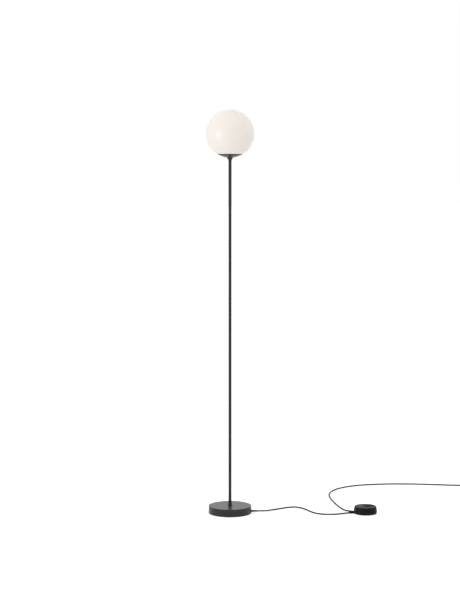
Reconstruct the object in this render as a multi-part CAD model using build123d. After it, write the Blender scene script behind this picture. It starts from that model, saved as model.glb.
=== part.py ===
"""Globe floor lamp: opal glass globe on a thin rod, round weighted base, round foot dimmer in the cord.

Millimetres, +Z up, origin on the floor under the middle of the base. +X points from the base towards
the foot dimmer, and +Y away from whoever looks at the lamp's front.
"""

from build123d import *

import math
import os

# ---------------------------------------------------------------- driving sizes
# Overall
globe_diameter = 200.0
globe_centre_height = 1587.0
base_diameter = 180.0
base_height = 32.0
rod_diameter = 13.0
cord_diameter = 6.0

# Clearances
thread_gap = 0.05  # radial, between a screw thread and its nut or tapped bore
hole_gap = 0.25  # radial, round a threaded tube that passes through a plain hole
seat_gap = 0.1  # between nested pressings
slip_gap = 0.3  # between pieces that slide apart

# Threaded tube that holds the lamp together
nipple_radius = 5.0
nipple_bore_radius = 3.5
nipple_engagement = 14.0
nut_width = 14.0
nut_height = 5.0
washer_thickness = 1.5
washer_radius = 10.0

# Base
pad_thickness = 1.0
pad_inset = 4.0
plate_thickness = 1.5
cover_wall = 2.0
cover_top_edge = 1.6
cover_lower_edge = 0.6
weight_gap = 0.3
web_thickness = 5.0
pocket_radius = 24.0
channel_width = 10.0
channel_roof_gap = 0.3
nipple_stub = 0.5
cord_exit_height = 8.0
plate_screw_circle = 60.0
plate_screw_radius = 2.0
plate_screw_head_radius = 3.6
plate_screw_head_height = 1.3
plate_screw_length = 14.0
plate_screw_count = 3
screw_hole_spare = 1.0

# Cord gland in the base's side
gland_neck_radius = 4.4
gland_inner_flange_radius = 5.4
gland_inner_flange_width = 2.0
gland_outer_flange_radius = 6.2
gland_outer_flange_width = 1.5
gland_tail_length = 3.0
relief_length = 22.0
relief_root_radius = 4.2
relief_tip_radius = 3.5
relief_groove_depth = 0.5
relief_groove_width = 1.2
relief_groove_count = 4

# Cord clamp inside the base
clamp_distance = 48.0
clamp_width = 10.0
clamp_length = 30.0
clamp_screw_spacing = 20.0
clamp_screw_radius = 1.5
clamp_screw_head_radius = 2.7
clamp_screw_head_height = 1.2
clamp_screw_length = 11.0

# Rod and its collars
rod_bore_radius = 4.5
rod_thread_depth = 15.0
foot_collar_radius = 10.0
foot_collar_flange = 3.0
foot_collar_height = 18.0
foot_collar_sleeve = 0.75
neck_collar_radius = 13.6
neck_collar_rim = 1.2
neck_collar_hollow = 22.0
neck_collar_waist_drop = 9.6
neck_collar_sleeve = 0.6
neck_collar_drop = 12.9
rod_top_drop = 4.5

# Glass globe
glass_wall = 3.0
lip_inner_radius = 45.0
lip_outer_rounding = 2.2
lip_end_rounding = 1.3
lip_inner_rounding = 3.0

# Dish that closes the globe's mouth, and what holds the globe on it
dish_inset = 1.5
dish_wall = 1.8
dish_rim_radius = 52.5
gasket_thickness = 0.8
gasket_width = 6.0
carrier_wall = 1.2
carrier_ring_radius = 43.0
carrier_ring_wall = 1.0
carrier_ring_height = 8.0
spring_count = 3
spring_width = 9.0
spring_thickness = 0.5
spring_reach = 1.75

# Lampholder for a large screw cap
holder_radius = 20.0
holder_wall = 2.0
holder_floor = 3.0
holder_cap_height = 18.0
holder_body_height = 30.0
holder_mouth_radius = 14.6
holder_mouth_lip = 2.0
insert_height = 10.0
insert_drop = 2.0
shell_wall = 0.6
contact_width = 5.0
contact_thickness = 0.5
contact_rise = 3.2
core_radius = 1.1
core_spacing = 2.8
terminal_spacing = 18.0
cable_stub = 1.0

# Bulb
bulb_cap_radius = 13.2
bulb_thread_depth = 0.9
bulb_thread_pitch = 3.6
bulb_thread_turns = 4
bulb_cap_height = 19.0
bulb_insulator_height = 3.0
bulb_tip_radius = 4.6
bulb_tip_height = 1.5
bulb_tip_gap = 0.1
bulb_radius = 30.0
bulb_length = 106.0
bulb_housing_height = 34.0
bulb_waist_share = 0.4  # how far up the housing its side has swept out half way
bulb_diffuser_wall = 1.5
bulb_seat_gap = 0.4
led_board_thickness = 1.6
led_board_inset = 3.0
led_count = 8
led_circle = 17.0
led_size = 3.0
led_height = 0.8

# Foot dimmer
dimmer_x = 569.0
dimmer_y = -10.0
dimmer_radius = 49.0
dimmer_height = 31.0
dimmer_draft = 3.6
dimmer_top_edge = 4.0
dimmer_lower_edge = 2.0
dimmer_wall = 2.2
dimmer_foot_height = 1.0
dimmer_foot_radius = 5.0
dimmer_floor = 2.0
dimmer_screw_circle = 38.5
dimmer_screw_count = 4
dimmer_screw_radius = 1.5
dimmer_screw_head_radius = 2.8
dimmer_screw_head_height = 1.4
dimmer_screw_length = 9.0
dimmer_boss_radius = 3.4
dimmer_relief_height = 5.0
dimmer_relief_spacing = 12.5
dimmer_relief_stub = 12.0
incoming_angle = 200.0  # degrees, the way that the cord from the base leaves the dimmer
outgoing_angle = 140.0  # degrees, the way that the cord to the plug leaves it

# Dial and what it turns
dial_offset = 11.5
dial_radius = 26.0
dial_gap = 0.4
dial_top_drop = 0.3
dial_thickness = 12.5
dial_skirt_wall = 1.2
dial_skirt_spare = 2.0
dial_scoop_radius = 21.5
dial_scoop_depth = 7.0
dial_scoop_slope = 16.0
dial_bar_width = 9.0
dial_bar_angle = -34.0
dial_edge = 1.2
spindle_radius = 3.0
spindle_engagement = 6.0
press_travel = 1.5
board_thickness = 1.6
board_rise = 4.0
board_length = 62.0
board_width = 45.0
board_post_radius = 2.6
pot_width = 17.0
pot_height = 4.4
pot_floor = 0.5
plunger_radius = 5.0
plunger_thickness = 1.5
plunger_rod_radius = 2.0
plunger_rod_length = 3.6
choke_radius = 5.5
choke_wire_radius = 2.5
choke_x = -7.0
choke_y = 12.5
terminal_length = 8.0
terminal_width = 26.0
terminal_height = 9.0
terminal_hole_radius = 1.4
grip_length = 26.0
grip_width = 7.0
grip_thickness = 3.0
grip_post_radius = 1.9
grip_screw_radius = 1.0
grip_screw_length = 8.0
grip_screw_head_height = 1.2
wire_radius = 0.9
wire_spread = 2.0

# Cord lying on the floor
arc_share = 0.45
cord_run = 21.0  # the straight run in line with each strain relief
coil_pitch = 6.8
coil_layer_rise = 6.6
coil_mean_radius = 35.0
coil_turns = 3.25
coil_centre_x = 1120.0
coil_centre_y = 584.0
coil_start_angle = -98.0  # degrees round the coil's centre
coil_lead_in = 38.0
coil_climb_turns = 0.5
coil_sections = 13
tie_thickness = 0.7
tie_width = 12.0
tie_angle = 110.0
tie_side_gap = 1.4
tail_run = 18.0
tail_shift_x = 6.5
tail_shift_y = 50.0

# Plug with two round pins
plug_angle = 84.0
plug_length = 36.0
plug_width = 26.0
plug_thickness = 13.7
plug_cord_end_width = 13.0
plug_face_width = 24.4
plug_widest = 24.0
plug_edge = 3.0
plug_corner = 4.0
pin_radius = 2.0
pin_length = 19.0
pin_spacing = 18.6
pin_depth = 8.0
pin_root_radius = 1.6
pin_tip_rounding = 1.2

# ---------------------------------------------------------------- sizes that follow
globe_radius = globe_diameter / 2
base_radius = base_diameter / 2
rod_radius = rod_diameter / 2
cord_radius = cord_diameter / 2
nipple_hole = nipple_radius + hole_gap

plate_top = pad_thickness + plate_thickness
cover_underside = base_height - cover_wall
cover_inner_radius = base_radius - cover_wall
web_underside = cover_underside - web_thickness
base_nut_top = web_underside - washer_thickness
nipple_foot = base_nut_top - nut_height - nipple_stub

dish_outer_sphere = globe_radius - dish_inset
dish_inner_sphere = dish_outer_sphere - dish_wall
carrier_outer_sphere = dish_inner_sphere - seat_gap
carrier_inner_sphere = carrier_outer_sphere - carrier_wall
dish_rim_height = globe_centre_height - math.sqrt(dish_outer_sphere**2 - dish_rim_radius**2)
lip_underside = dish_rim_height + gasket_thickness
lip_top = lip_underside + glass_wall
carrier_ring_top = dish_rim_height + carrier_ring_height
dish_lowest = globe_centre_height - dish_outer_sphere
rod_top = dish_lowest - rod_top_drop
rod_middle = (base_height + rod_top) / 2

head_washer_underside = (
    globe_centre_height - math.sqrt(carrier_inner_sphere**2 - washer_radius**2) + seat_gap
)
head_nut_underside = head_washer_underside + washer_thickness
holder_foot = head_nut_underside + nut_height
nipple_top = holder_foot + holder_floor + cable_stub
cable_top = nipple_top + cable_stub
holder_joint = holder_foot + holder_cap_height
holder_top = holder_joint + holder_body_height
insert_top = holder_joint - insert_drop + insert_height
shell_inner_radius = bulb_cap_radius + slip_gap
contact_top = insert_top + contact_rise
bulb_foot = contact_top + bulb_tip_gap
bulb_cap_foot = bulb_foot + bulb_tip_height + bulb_insulator_height
bulb_cap_top = bulb_cap_foot + bulb_cap_height
housing_foot = max(bulb_cap_top, holder_top + bulb_seat_gap)
housing_top = housing_foot + bulb_housing_height
bulb_top = bulb_foot + bulb_length

dimmer_board_underside = dimmer_foot_height + dimmer_floor + board_rise
dimmer_board_top = dimmer_board_underside + board_thickness
pot_top = dimmer_board_top + pot_height
plunger_underside = pot_top + press_travel + slip_gap
plunger_top = plunger_underside + plunger_thickness
dial_top = dimmer_height - dial_top_drop
dial_underside = dial_top - dial_thickness
spindle_top = dial_underside + spindle_engagement
dial_skirt_foot = dial_underside - press_travel + dial_skirt_spare


# ---------------------------------------------------------------- shape helpers
def disc(radius, low, high, hole_radius=0.0):
    """A round plate, post or tube on the Z axis between two heights."""
    up = (Align.CENTER, Align.CENTER, Align.MIN)
    solid = Pos(0, 0, low) * Cylinder(radius, high - low, align=up)
    if hole_radius > 0:
        solid -= Pos(0, 0, low) * Cylinder(hole_radius, high - low, align=up)
    return solid


def turned(*edges):
    """A solid of revolution about Z. The edges close an outline drawn as (radius, height)."""
    return revolve(Plane.XZ * make_face(list(edges)), axis=Axis.Z)


def turned_outline(*points):
    """A solid of revolution about Z from a straight-sided outline of (radius, height) points."""
    return revolve(Plane.XZ * make_face(Polyline(*points, close=True)), axis=Axis.Z)


def below_centre(sphere_radius, radius):
    """The outline point at this radius on the lower half of a sphere round the globe's centre."""
    return (radius, globe_centre_height - math.sqrt(sphere_radius**2 - radius**2))


def lower_arc(sphere_radius, start_radius, end_radius):
    """The arc between two radii on the lower half of a sphere round the globe's centre."""
    middle_radius = (start_radius + end_radius) / 2
    return ThreePointArc(
        below_centre(sphere_radius, start_radius),
        below_centre(sphere_radius, middle_radius),
        below_centre(sphere_radius, end_radius),
    )


def cap_shell(outer_sphere, wall, rim_radius, hole_radius):
    """A spherical bowl of even wall, open at the top, with a flat rim and a hole in its floor."""
    rim = below_centre(outer_sphere, rim_radius)
    inner_sphere = outer_sphere - wall
    rim_inner_radius = math.sqrt(inner_sphere**2 - (globe_centre_height - rim[1]) ** 2)
    rim_inner = (rim_inner_radius, rim[1])
    return turned(
        lower_arc(outer_sphere, hole_radius, rim_radius),
        Line(rim, rim_inner),
        lower_arc(inner_sphere, rim_inner_radius, hole_radius),
        Line(below_centre(inner_sphere, hole_radius), below_centre(outer_sphere, hole_radius)),
    )


def threaded_tube(low, high):
    """The hollow threaded tube between two heights."""
    return disc(nipple_radius, low, high, nipple_bore_radius)


def hex_nut(low):
    """A hexagon nut for the threaded tube, standing on a height."""
    body = Pos(0, 0, low) * extrude(RegularPolygon(nut_width / 2, 6, major_radius=False), nut_height)
    return body - disc(nipple_radius + thread_gap, low, low + nut_height)


def flat_washer(low):
    """A washer for the threaded tube, lying on a height."""
    return disc(washer_radius, low, low + washer_thickness, nipple_hole)


def countersunk_screw(radius, length, head_radius, head_height, spare=0.0):
    """A countersunk screw standing on its head at height 0, wider by spare to cut its hole."""
    return turned_outline(
        (0, 0),
        (head_radius + spare, 0),
        (radius + spare, head_height),
        (radius + spare, length),
        (0, length),
    )


def spots(count, circle_radius, first_angle):
    """Places evenly round a circle about Z."""
    return [
        (
            circle_radius * math.cos(math.radians(first_angle + 360 * n / count)),
            circle_radius * math.sin(math.radians(first_angle + 360 * n / count)),
        )
        for n in range(count)
    ]


def turned_along(place, angle, *outline):
    """A turned piece whose axis lies flat. The outline is (distance along, radius), from place."""
    solid = revolve(make_face(Polyline(*outline, close=True)), axis=Axis.X)
    return Pos(*place) * Rot(0, 0, angle) * solid


def lying_rod(place, angle, radius, start, end):
    """A round rod whose axis lies flat, between two distances along it from place."""
    return turned_along(place, angle, (start, 0), (start, radius), (end, radius), (end, 0))


def relief_outline(start):
    """The tapered outside of a strain relief with its ring grooves, as (distance along, radius)."""
    def taper(along):
        share = along / relief_length
        return relief_root_radius + (relief_tip_radius - relief_root_radius) * share

    step = relief_length / (relief_groove_count + 1)
    outline = [(start, taper(0))]
    for n in range(1, relief_groove_count + 1):
        left = n * step - relief_groove_width / 2
        right = n * step + relief_groove_width / 2
        outline += [
            (start + left, taper(left)),
            (start + left, taper(left) - relief_groove_depth),
            (start + right, taper(right) - relief_groove_depth),
            (start + right, taper(right)),
        ]
    return outline + [(start + relief_length, relief_tip_radius)]


def along(place, angle, distance):
    """The point at a distance from place in a flat direction, at the same height."""
    return (
        place[0] + distance * math.cos(math.radians(angle)),
        place[1] + distance * math.sin(math.radians(angle)),
        place[2],
    )


def bend_radii(points):
    """Each corner's largest arc: a share of its shorter run, over the tangent of half the turn."""
    radii = []
    for before, corner, after in zip(points, points[1:], points[2:]):
        run_in = Vector(*corner) - Vector(*before)
        run_out = Vector(*after) - Vector(*corner)
        half_turn = math.radians(run_in.get_angle(run_out)) / 2
        radii.append(arc_share * min(run_in.length, run_out.length) / math.tan(half_turn))
    return radii


def cord_tube(name, points):
    """A round cord along straight runs joined by tangent arcs. Prints its length and tightest arc."""
    radii = bend_radii(points)
    path = FilletPolyline(*points, radius=radii)
    tube = sweep(Plane(path @ 0, z_dir=path % 0) * Circle(cord_radius), path=path)
    drift = tube.volume / (math.pi * cord_radius**2 * path.length) - 1
    print(f"{name}: length {path.length:.0f}, arcs", [round(radius) for radius in radii])
    print(f"{name}: volume differs from section times length by {drift:.4%}")
    return tube


parts = {}

# ---------------------------------------------------------------- base
def make_base_cover():
    """Spun steel cover: flat top, straight side, holes for the threaded tube and the cord gland."""
    outline = (
        (nipple_hole, base_height),
        (base_radius, base_height),
        (base_radius, pad_thickness),
        (cover_inner_radius, pad_thickness),
        (cover_inner_radius, cover_underside),
        (nipple_hole, cover_underside),
    )
    cover = turned_outline(*outline)
    rims = cover.edges().filter_by(GeomType.CIRCLE).sort_by(lambda edge: edge.radius)
    outer_rims = [edge for edge in rims if edge.radius > cover_inner_radius + cover_wall / 2]
    lower_rim, upper_rim = sorted(outer_rims, key=lambda edge: edge.center().Z)
    cover = fillet(upper_rim, cover_top_edge)
    outer_rims = [
        edge
        for edge in cover.edges().filter_by(GeomType.CIRCLE)
        if edge.radius > cover_inner_radius + cover_wall / 2 and edge.center().Z < cover_underside / 2
    ]
    cover = chamfer(outer_rims, cover_lower_edge)
    gland_place = (0, 0, cord_exit_height)
    return cover - lying_rod(gland_place, 0, gland_neck_radius + seat_gap, 0, base_radius + cover_wall)


def plate_screw_places():
    """The plate screws stand on a circle, clear of the cord's channel."""
    return spots(plate_screw_count, plate_screw_circle, 90)


def clamp_screw_places():
    """The clamp's two screws stand one each side of the cord."""
    return [(clamp_distance, side * clamp_screw_spacing / 2) for side in (-1, 1)]


def plate_screw(spare=0.0):
    """One of the screws that hold the plate to the weight, head flush with the plate's underside."""
    return countersunk_screw(
        plate_screw_radius, plate_screw_length, plate_screw_head_radius, plate_screw_head_height, spare
    )


def clamp_screw(spare=0.0):
    """One of the screws that hold the cord clamp to the weight, head flush with the clamp."""
    return countersunk_screw(
        clamp_screw_radius, clamp_screw_length, clamp_screw_head_radius, clamp_screw_head_height, spare
    )


clamp_underside = plate_top + seat_gap
clamp_top = cord_exit_height - cord_radius - seat_gap / 2


def make_base_weight():
    """Cast-iron weight with a pocket for the nut, a channel for the cord and tapped holes."""
    radius = cover_inner_radius - weight_gap
    weight = disc(radius, plate_top, cover_underside, nipple_hole)
    weight -= disc(pocket_radius, plate_top, web_underside)
    roof = cord_exit_height + cord_radius + channel_roof_gap
    low = (Align.MIN, Align.CENTER, Align.MIN)
    weight -= Pos(0, 0, plate_top) * Box(radius, channel_width, roof - plate_top, align=low)
    flange_room = gland_inner_flange_radius + weight_gap
    seat_depth = gland_inner_flange_width + gland_tail_length + cover_wall
    weight -= lying_rod((radius, 0, cord_exit_height), 0, flange_room, -seat_depth, cover_wall)
    middle = (Align.CENTER, Align.CENTER, Align.MIN)
    recess_height = clamp_top + seat_gap - plate_top
    weight -= Pos(clamp_distance, 0, plate_top) * Box(
        clamp_width + 2 * seat_gap, clamp_length + 2 * seat_gap, recess_height, align=middle
    )
    for x, y in plate_screw_places():
        weight -= Pos(x, y, pad_thickness) * disc(
            plate_screw_radius + thread_gap, 0, plate_screw_length + screw_hole_spare
        )
    for x, y in clamp_screw_places():
        weight -= Pos(x, y, clamp_underside) * disc(
            clamp_screw_radius + thread_gap, 0, clamp_screw_length + screw_hole_spare
        )
    return weight


def make_base_plate():
    """Steel plate under the weight, countersunk for its screws."""
    plate = disc(cover_inner_radius - weight_gap, pad_thickness, plate_top)
    for x, y in plate_screw_places():
        plate -= Pos(x, y, pad_thickness) * plate_screw(thread_gap)
    return plate


def make_cord_clamp():
    """Plastic bar that presses the cord against the roof of its channel."""
    low = (Align.CENTER, Align.CENTER, Align.MIN)
    bar = Box(clamp_width, clamp_length, clamp_top - clamp_underside, align=low)
    bar = Pos(clamp_distance, 0, clamp_underside) * bar
    for x, y in clamp_screw_places():
        bar -= Pos(x, y, clamp_underside) * clamp_screw(thread_gap)
    return bar


gland_wall_face = math.sqrt(cover_inner_radius**2 - gland_inner_flange_radius**2) - seat_gap
gland_inner_end = gland_wall_face - gland_inner_flange_width - gland_tail_length
gland_shoulder = base_radius + seat_gap / 2
gland_relief_start = gland_shoulder + gland_outer_flange_width
gland_tip = gland_relief_start + relief_length


def make_cord_gland():
    """Moulded gland: flanges both sides of the cover's wall and a tapered, grooved strain relief."""
    outline = [
        (gland_inner_end, 0),
        (gland_inner_end, gland_neck_radius),
        (gland_wall_face - gland_inner_flange_width, gland_neck_radius),
        (gland_wall_face - gland_inner_flange_width, gland_inner_flange_radius),
        (gland_wall_face, gland_inner_flange_radius),
        (gland_wall_face, gland_neck_radius),
        (gland_shoulder, gland_neck_radius),
        (gland_shoulder, gland_outer_flange_radius),
        (gland_relief_start, gland_outer_flange_radius),
    ]
    outline += relief_outline(gland_relief_start)
    outline += [(gland_tip, 0)]
    return turned_along((0, 0, cord_exit_height), 0, *outline)


def make_inner_cable():
    """Cord inside the lamp: from the gland to the middle of the base, then up through the rod."""
    bend = nipple_foot - cord_exit_height
    corner = (0, 0, cord_exit_height)
    path = FilletPolyline((gland_inner_end, 0, cord_exit_height), corner, (0, 0, cable_top), radius=bend)
    return sweep(Plane(path @ 0, z_dir=path % 0) * Circle(cord_radius), path=path)


parts["base_cover"] = make_base_cover()
parts["base_weight"] = make_base_weight()
parts["base_plate"] = make_base_plate()
parts["base_pad"] = disc(base_radius - pad_inset, 0, pad_thickness)
parts["base_screws"] = Compound(
    children=[Pos(x, y, pad_thickness) * plate_screw() for x, y in plate_screw_places()]
)
parts["base_nipple"] = threaded_tube(nipple_foot, base_height + nipple_engagement)
parts["base_nut"] = hex_nut(base_nut_top - nut_height)
parts["base_washer"] = flat_washer(base_nut_top)
parts["cord_gland"] = make_cord_gland()
parts["cord_clamp"] = make_cord_clamp()
parts["cord_clamp_screws"] = Compound(
    children=[Pos(x, y, clamp_underside) * clamp_screw() for x, y in clamp_screw_places()]
)
parts["inner_cable"] = make_inner_cable()


# ---------------------------------------------------------------- rod
def rod_section(low, high):
    """A length of tube, tapped at both ends for the threaded tubes that join it."""
    tube = disc(rod_radius, low, high, rod_bore_radius)
    tapped = nipple_radius + thread_gap
    tube -= disc(tapped, low, low + rod_thread_depth)
    return tube - disc(tapped, high - rod_thread_depth, high)


def make_foot_collar():
    """Turned collar on the base round the rod's foot: a flange that sweeps up into a thin sleeve."""
    bore = rod_radius + thread_gap
    sleeve = bore + foot_collar_sleeve
    flange_top = base_height + foot_collar_flange
    top = base_height + foot_collar_height
    sweep_top = flange_top + foot_collar_radius - sleeve
    return turned(
        Line((bore, base_height), (foot_collar_radius, base_height)),
        Line((foot_collar_radius, base_height), (foot_collar_radius, flange_top)),
        RadiusArc(
            (foot_collar_radius, flange_top), (sleeve, sweep_top), foot_collar_radius - sleeve
        ),
        Line((sleeve, sweep_top), (sleeve, top)),
        Line((sleeve, top), (bore, top)),
        Line((bore, top), (bore, base_height)),
    )


def make_neck_collar():
    """Turned collar between rod and dish: a rim that fits the dish and a hollow sweep to the rod."""
    bore = rod_radius + thread_gap
    sleeve = bore + neck_collar_sleeve
    rim_top = below_centre(dish_outer_sphere + seat_gap / 2, neck_collar_radius)
    rim_low = (neck_collar_radius, rim_top[1] - neck_collar_rim)
    foot = rim_top[1] - neck_collar_drop
    waist = (sleeve, rim_low[1] - neck_collar_waist_drop)
    outline = turned(
        Line((nipple_hole, rod_top), below_centre(dish_outer_sphere + seat_gap / 2, nipple_hole)),
        lower_arc(dish_outer_sphere + seat_gap / 2, nipple_hole, neck_collar_radius),
        Line(rim_top, rim_low),
        RadiusArc(rim_low, waist, -neck_collar_hollow),
        Line(waist, (sleeve, foot)),
        Line((sleeve, foot), (bore, foot)),
        Line((bore, foot), (bore, rod_top)),
        Line((bore, rod_top), (nipple_hole, rod_top)),
    )
    return outline


parts["rod_lower"] = rod_section(base_height, rod_middle)
parts["rod_upper"] = rod_section(rod_middle, rod_top)
parts["rod_coupler"] = threaded_tube(rod_middle - nipple_engagement, rod_middle + nipple_engagement)
parts["foot_collar"] = make_foot_collar()
parts["neck_collar"] = make_neck_collar()


# ---------------------------------------------------------------- head
def make_globe():
    """Opal glass sphere whose lower edge turns inwards to a flat, rounded lip."""
    inner_sphere = globe_radius - glass_wall
    lip_drop = globe_centre_height - lip_underside
    lip_top_drop = globe_centre_height - lip_top
    outer_edge = (math.sqrt(globe_radius**2 - lip_drop**2), lip_underside)
    inner_edge = (math.sqrt(inner_sphere**2 - lip_top_drop**2), lip_top)
    pole = (0, globe_centre_height + globe_radius)
    inner_pole = (0, globe_centre_height + inner_sphere)
    face = make_face(
        [
            ThreePointArc(pole, (globe_radius, globe_centre_height), outer_edge),
            Line(outer_edge, (lip_inner_radius, lip_underside)),
            Line((lip_inner_radius, lip_underside), (lip_inner_radius, lip_top)),
            Line((lip_inner_radius, lip_top), inner_edge),
            ThreePointArc(inner_edge, (inner_sphere, globe_centre_height), inner_pole),
            Line(inner_pole, pole),
        ]
    )
    roundings = (
        (outer_edge, lip_outer_rounding),
        ((lip_inner_radius, lip_underside), lip_end_rounding),
        ((lip_inner_radius, lip_top), lip_end_rounding),
        (inner_edge, lip_inner_rounding),
    )
    for corner, rounding in roundings:
        nearest = face.vertices().sort_by_distance(Vector(corner[0], corner[1], 0))[0]
        face = fillet(nearest, rounding)
    return revolve(Plane.XZ * face, axis=Axis.Z)


def make_globe_carrier():
    """Pressed steel cup in the dish: a bowl-shaped floor and an upright ring inside the globe's lip."""
    cup = cap_shell(carrier_outer_sphere, carrier_wall, carrier_ring_radius, nipple_hole)
    ring_inner_radius = carrier_ring_radius - carrier_ring_wall
    ring_foot = below_centre(carrier_outer_sphere, carrier_ring_radius)[1]
    ring = disc(carrier_ring_radius, ring_foot, carrier_ring_top, ring_inner_radius)
    return cup + ring


def make_globe_spring():
    """One bowed leaf spring: it stands on the ring and presses outwards against the globe's lip."""
    foot_radius = carrier_ring_radius + seat_gap / 2
    middle_height = (lip_underside + lip_top) / 2
    low = below_centre(dish_inner_sphere, foot_radius + spring_reach)[1] + slip_gap
    high = 2 * middle_height - low
    bow = spring_reach - spring_thickness
    face = make_face(
        [
            ThreePointArc((foot_radius, low), (foot_radius + bow, middle_height), (foot_radius, high)),
            Line((foot_radius, high), (foot_radius + spring_thickness, high)),
            ThreePointArc(
                (foot_radius + spring_thickness, high),
                (foot_radius + spring_reach, middle_height),
                (foot_radius + spring_thickness, low),
            ),
            Line((foot_radius + spring_thickness, low), (foot_radius, low)),
        ]
    )
    return extrude(Plane.XZ * face, spring_width / 2, both=True)


def make_lampholder_cap():
    """Lampholder's lower cup, with a threaded entry in its floor."""
    inner_radius = holder_radius - holder_wall
    cup = disc(holder_radius, holder_foot, holder_joint)
    cup = fillet(cup.edges().group_by(Axis.Z)[0], holder_wall)
    cup -= disc(inner_radius, holder_foot + holder_floor, holder_joint)
    return cup - disc(nipple_radius + thread_gap, holder_foot, holder_joint)


def make_lampholder_body():
    """Lampholder's upper sleeve, drawn in at its mouth."""
    sleeve = disc(holder_radius, holder_joint, holder_top, holder_mouth_radius)
    inner_radius = holder_radius - holder_wall
    return sleeve - disc(inner_radius, holder_joint, holder_top - holder_mouth_lip)


def make_lampholder_shell():
    """Metal screw shell on the insert, with a flange under the holder's mouth."""
    outer_radius = shell_inner_radius + shell_wall
    flange_top = holder_top - holder_mouth_lip
    flange_radius = holder_radius - holder_wall - seat_gap
    tube = disc(outer_radius, insert_top, flange_top, shell_inner_radius)
    return tube + disc(flange_radius, flange_top - shell_wall, flange_top, shell_inner_radius)


def make_lampholder_contact():
    """Brass leaf that rises from the insert to the bulb's tip."""
    reach = shell_inner_radius - contact_thickness
    tip = bulb_tip_radius / 2
    face = make_face(
        Polyline(
            (-reach, insert_top),
            (-tip, insert_top),
            (tip, contact_top - contact_thickness),
            (2 * tip, contact_top - contact_thickness),
            (2 * tip, contact_top),
            (0, contact_top),
            (-tip - contact_thickness, insert_top + contact_thickness),
            (-reach, insert_top + contact_thickness),
            close=True,
        )
    )
    return extrude(Plane.XZ * face, contact_width / 2, both=True)


def make_head_wires():
    """Two insulated cores from the cable's end to the terminals under the lampholder's insert."""
    wires = []
    insert_underside = holder_joint - insert_drop
    rise = insert_underside - cable_top
    for side in (-1, 1):
        points = (
            (side * core_spacing / 2, 0, cable_top),
            (side * core_spacing / 2, 0, cable_top + rise / 4),
            (side * terminal_spacing / 2, 0, insert_underside - rise / 4),
            (side * terminal_spacing / 2, 0, insert_underside),
        )
        path = FilletPolyline(*points, radius=2 * core_radius)
        wires.append(sweep(Plane(path @ 0, z_dir=path % 0) * Circle(core_radius), path=path))
    return Compound(children=wires)


parts["globe"] = make_globe()
parts["globe_gasket"] = disc(
    dish_rim_radius - seat_gap, dish_rim_height, lip_underside, dish_rim_radius - gasket_width
)
parts["holder_dish"] = cap_shell(dish_outer_sphere, dish_wall, dish_rim_radius, nipple_hole)
parts["globe_carrier"] = make_globe_carrier()
parts["globe_springs"] = Compound(
    children=[Rot(0, 0, 360 * n / spring_count) * make_globe_spring() for n in range(spring_count)]
)
parts["head_nipple"] = threaded_tube(rod_top - nipple_engagement, nipple_top)
parts["head_washer"] = flat_washer(head_washer_underside)
parts["head_nut"] = hex_nut(head_nut_underside)
parts["lampholder_cap"] = make_lampholder_cap()
parts["lampholder_body"] = make_lampholder_body()
parts["lampholder_insert"] = disc(
    holder_radius - holder_wall - seat_gap, holder_joint - insert_drop, insert_top
)
parts["lampholder_shell"] = make_lampholder_shell()
parts["lampholder_contact"] = make_lampholder_contact()
parts["lampholder_wires"] = make_head_wires()


# ---------------------------------------------------------------- bulb
def make_bulb_cap():
    """Screw cap, with its thread as rings of the same pitch and depth."""
    root = bulb_cap_radius - bulb_thread_depth
    rim = bulb_insulator_height
    outline = [(0, bulb_cap_foot), (root - rim, bulb_cap_foot), (root, bulb_cap_foot + rim / 2)]
    first = bulb_cap_foot + rim / 2
    for n in range(bulb_thread_turns):
        crest = first + (n + 0.5) * bulb_thread_pitch
        outline += [(bulb_cap_radius, crest), (root, first + (n + 1) * bulb_thread_pitch)]
    outline += [(root, bulb_cap_top), (0, bulb_cap_top)]
    return turned_outline(*outline)


def make_bulb_insulator():
    """Glass cone between the bulb's cap and its tip."""
    cap_floor_radius = bulb_cap_radius - bulb_thread_depth - bulb_insulator_height
    return turned_outline(
        (0, bulb_cap_foot),
        (0, bulb_foot + bulb_tip_height),
        (bulb_tip_radius + bulb_tip_height, bulb_foot + bulb_tip_height),
        (cap_floor_radius, bulb_cap_foot),
    )


def make_bulb_housing():
    """Heat-spreading cone from the cap to the light."""
    foot = bulb_cap_radius
    return turned(
        Line((0, bulb_cap_top), (foot, bulb_cap_top)),
        Line((foot, bulb_cap_top), (foot, housing_foot + seat_gap)),
        ThreePointArc(
            (foot, housing_foot + seat_gap),
            ((foot + bulb_radius) / 2 - seat_gap, housing_foot + bulb_waist_share * bulb_housing_height),
            (bulb_radius, housing_top),
        ),
        Line((bulb_radius, housing_top), (0, housing_top)),
        Line((0, housing_top), (0, bulb_cap_top)),
    )


def make_bulb_diffuser():
    """Frosted dome over the light, part of a sphere with a short straight foot."""
    rise = bulb_top - housing_top
    inner_radius = bulb_radius - bulb_diffuser_wall
    inner_rise = rise - bulb_diffuser_wall
    shoulder = rise - bulb_radius
    return turned(
        Line((bulb_radius, housing_top), (bulb_radius, housing_top + shoulder)),
        RadiusArc((bulb_radius, housing_top + shoulder), (0, bulb_top), -bulb_radius),
        Line((0, bulb_top), (0, housing_top + inner_rise)),
        RadiusArc((0, housing_top + inner_rise), (inner_radius, housing_top + shoulder), inner_radius),
        Line((inner_radius, housing_top + shoulder), (inner_radius, housing_top)),
        Line((inner_radius, housing_top), (bulb_radius, housing_top)),
    )


def make_led_board():
    """Round board with its ring of light chips."""
    radius = bulb_radius - bulb_diffuser_wall - led_board_inset
    top = housing_top + led_board_thickness
    board = disc(radius, housing_top, top)
    low = (Align.CENTER, Align.CENTER, Align.MIN)
    for x, y in spots(led_count, led_circle, 0):
        board += Pos(x, y, top) * Box(led_size, led_size, led_height, align=low)
    return board


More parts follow.
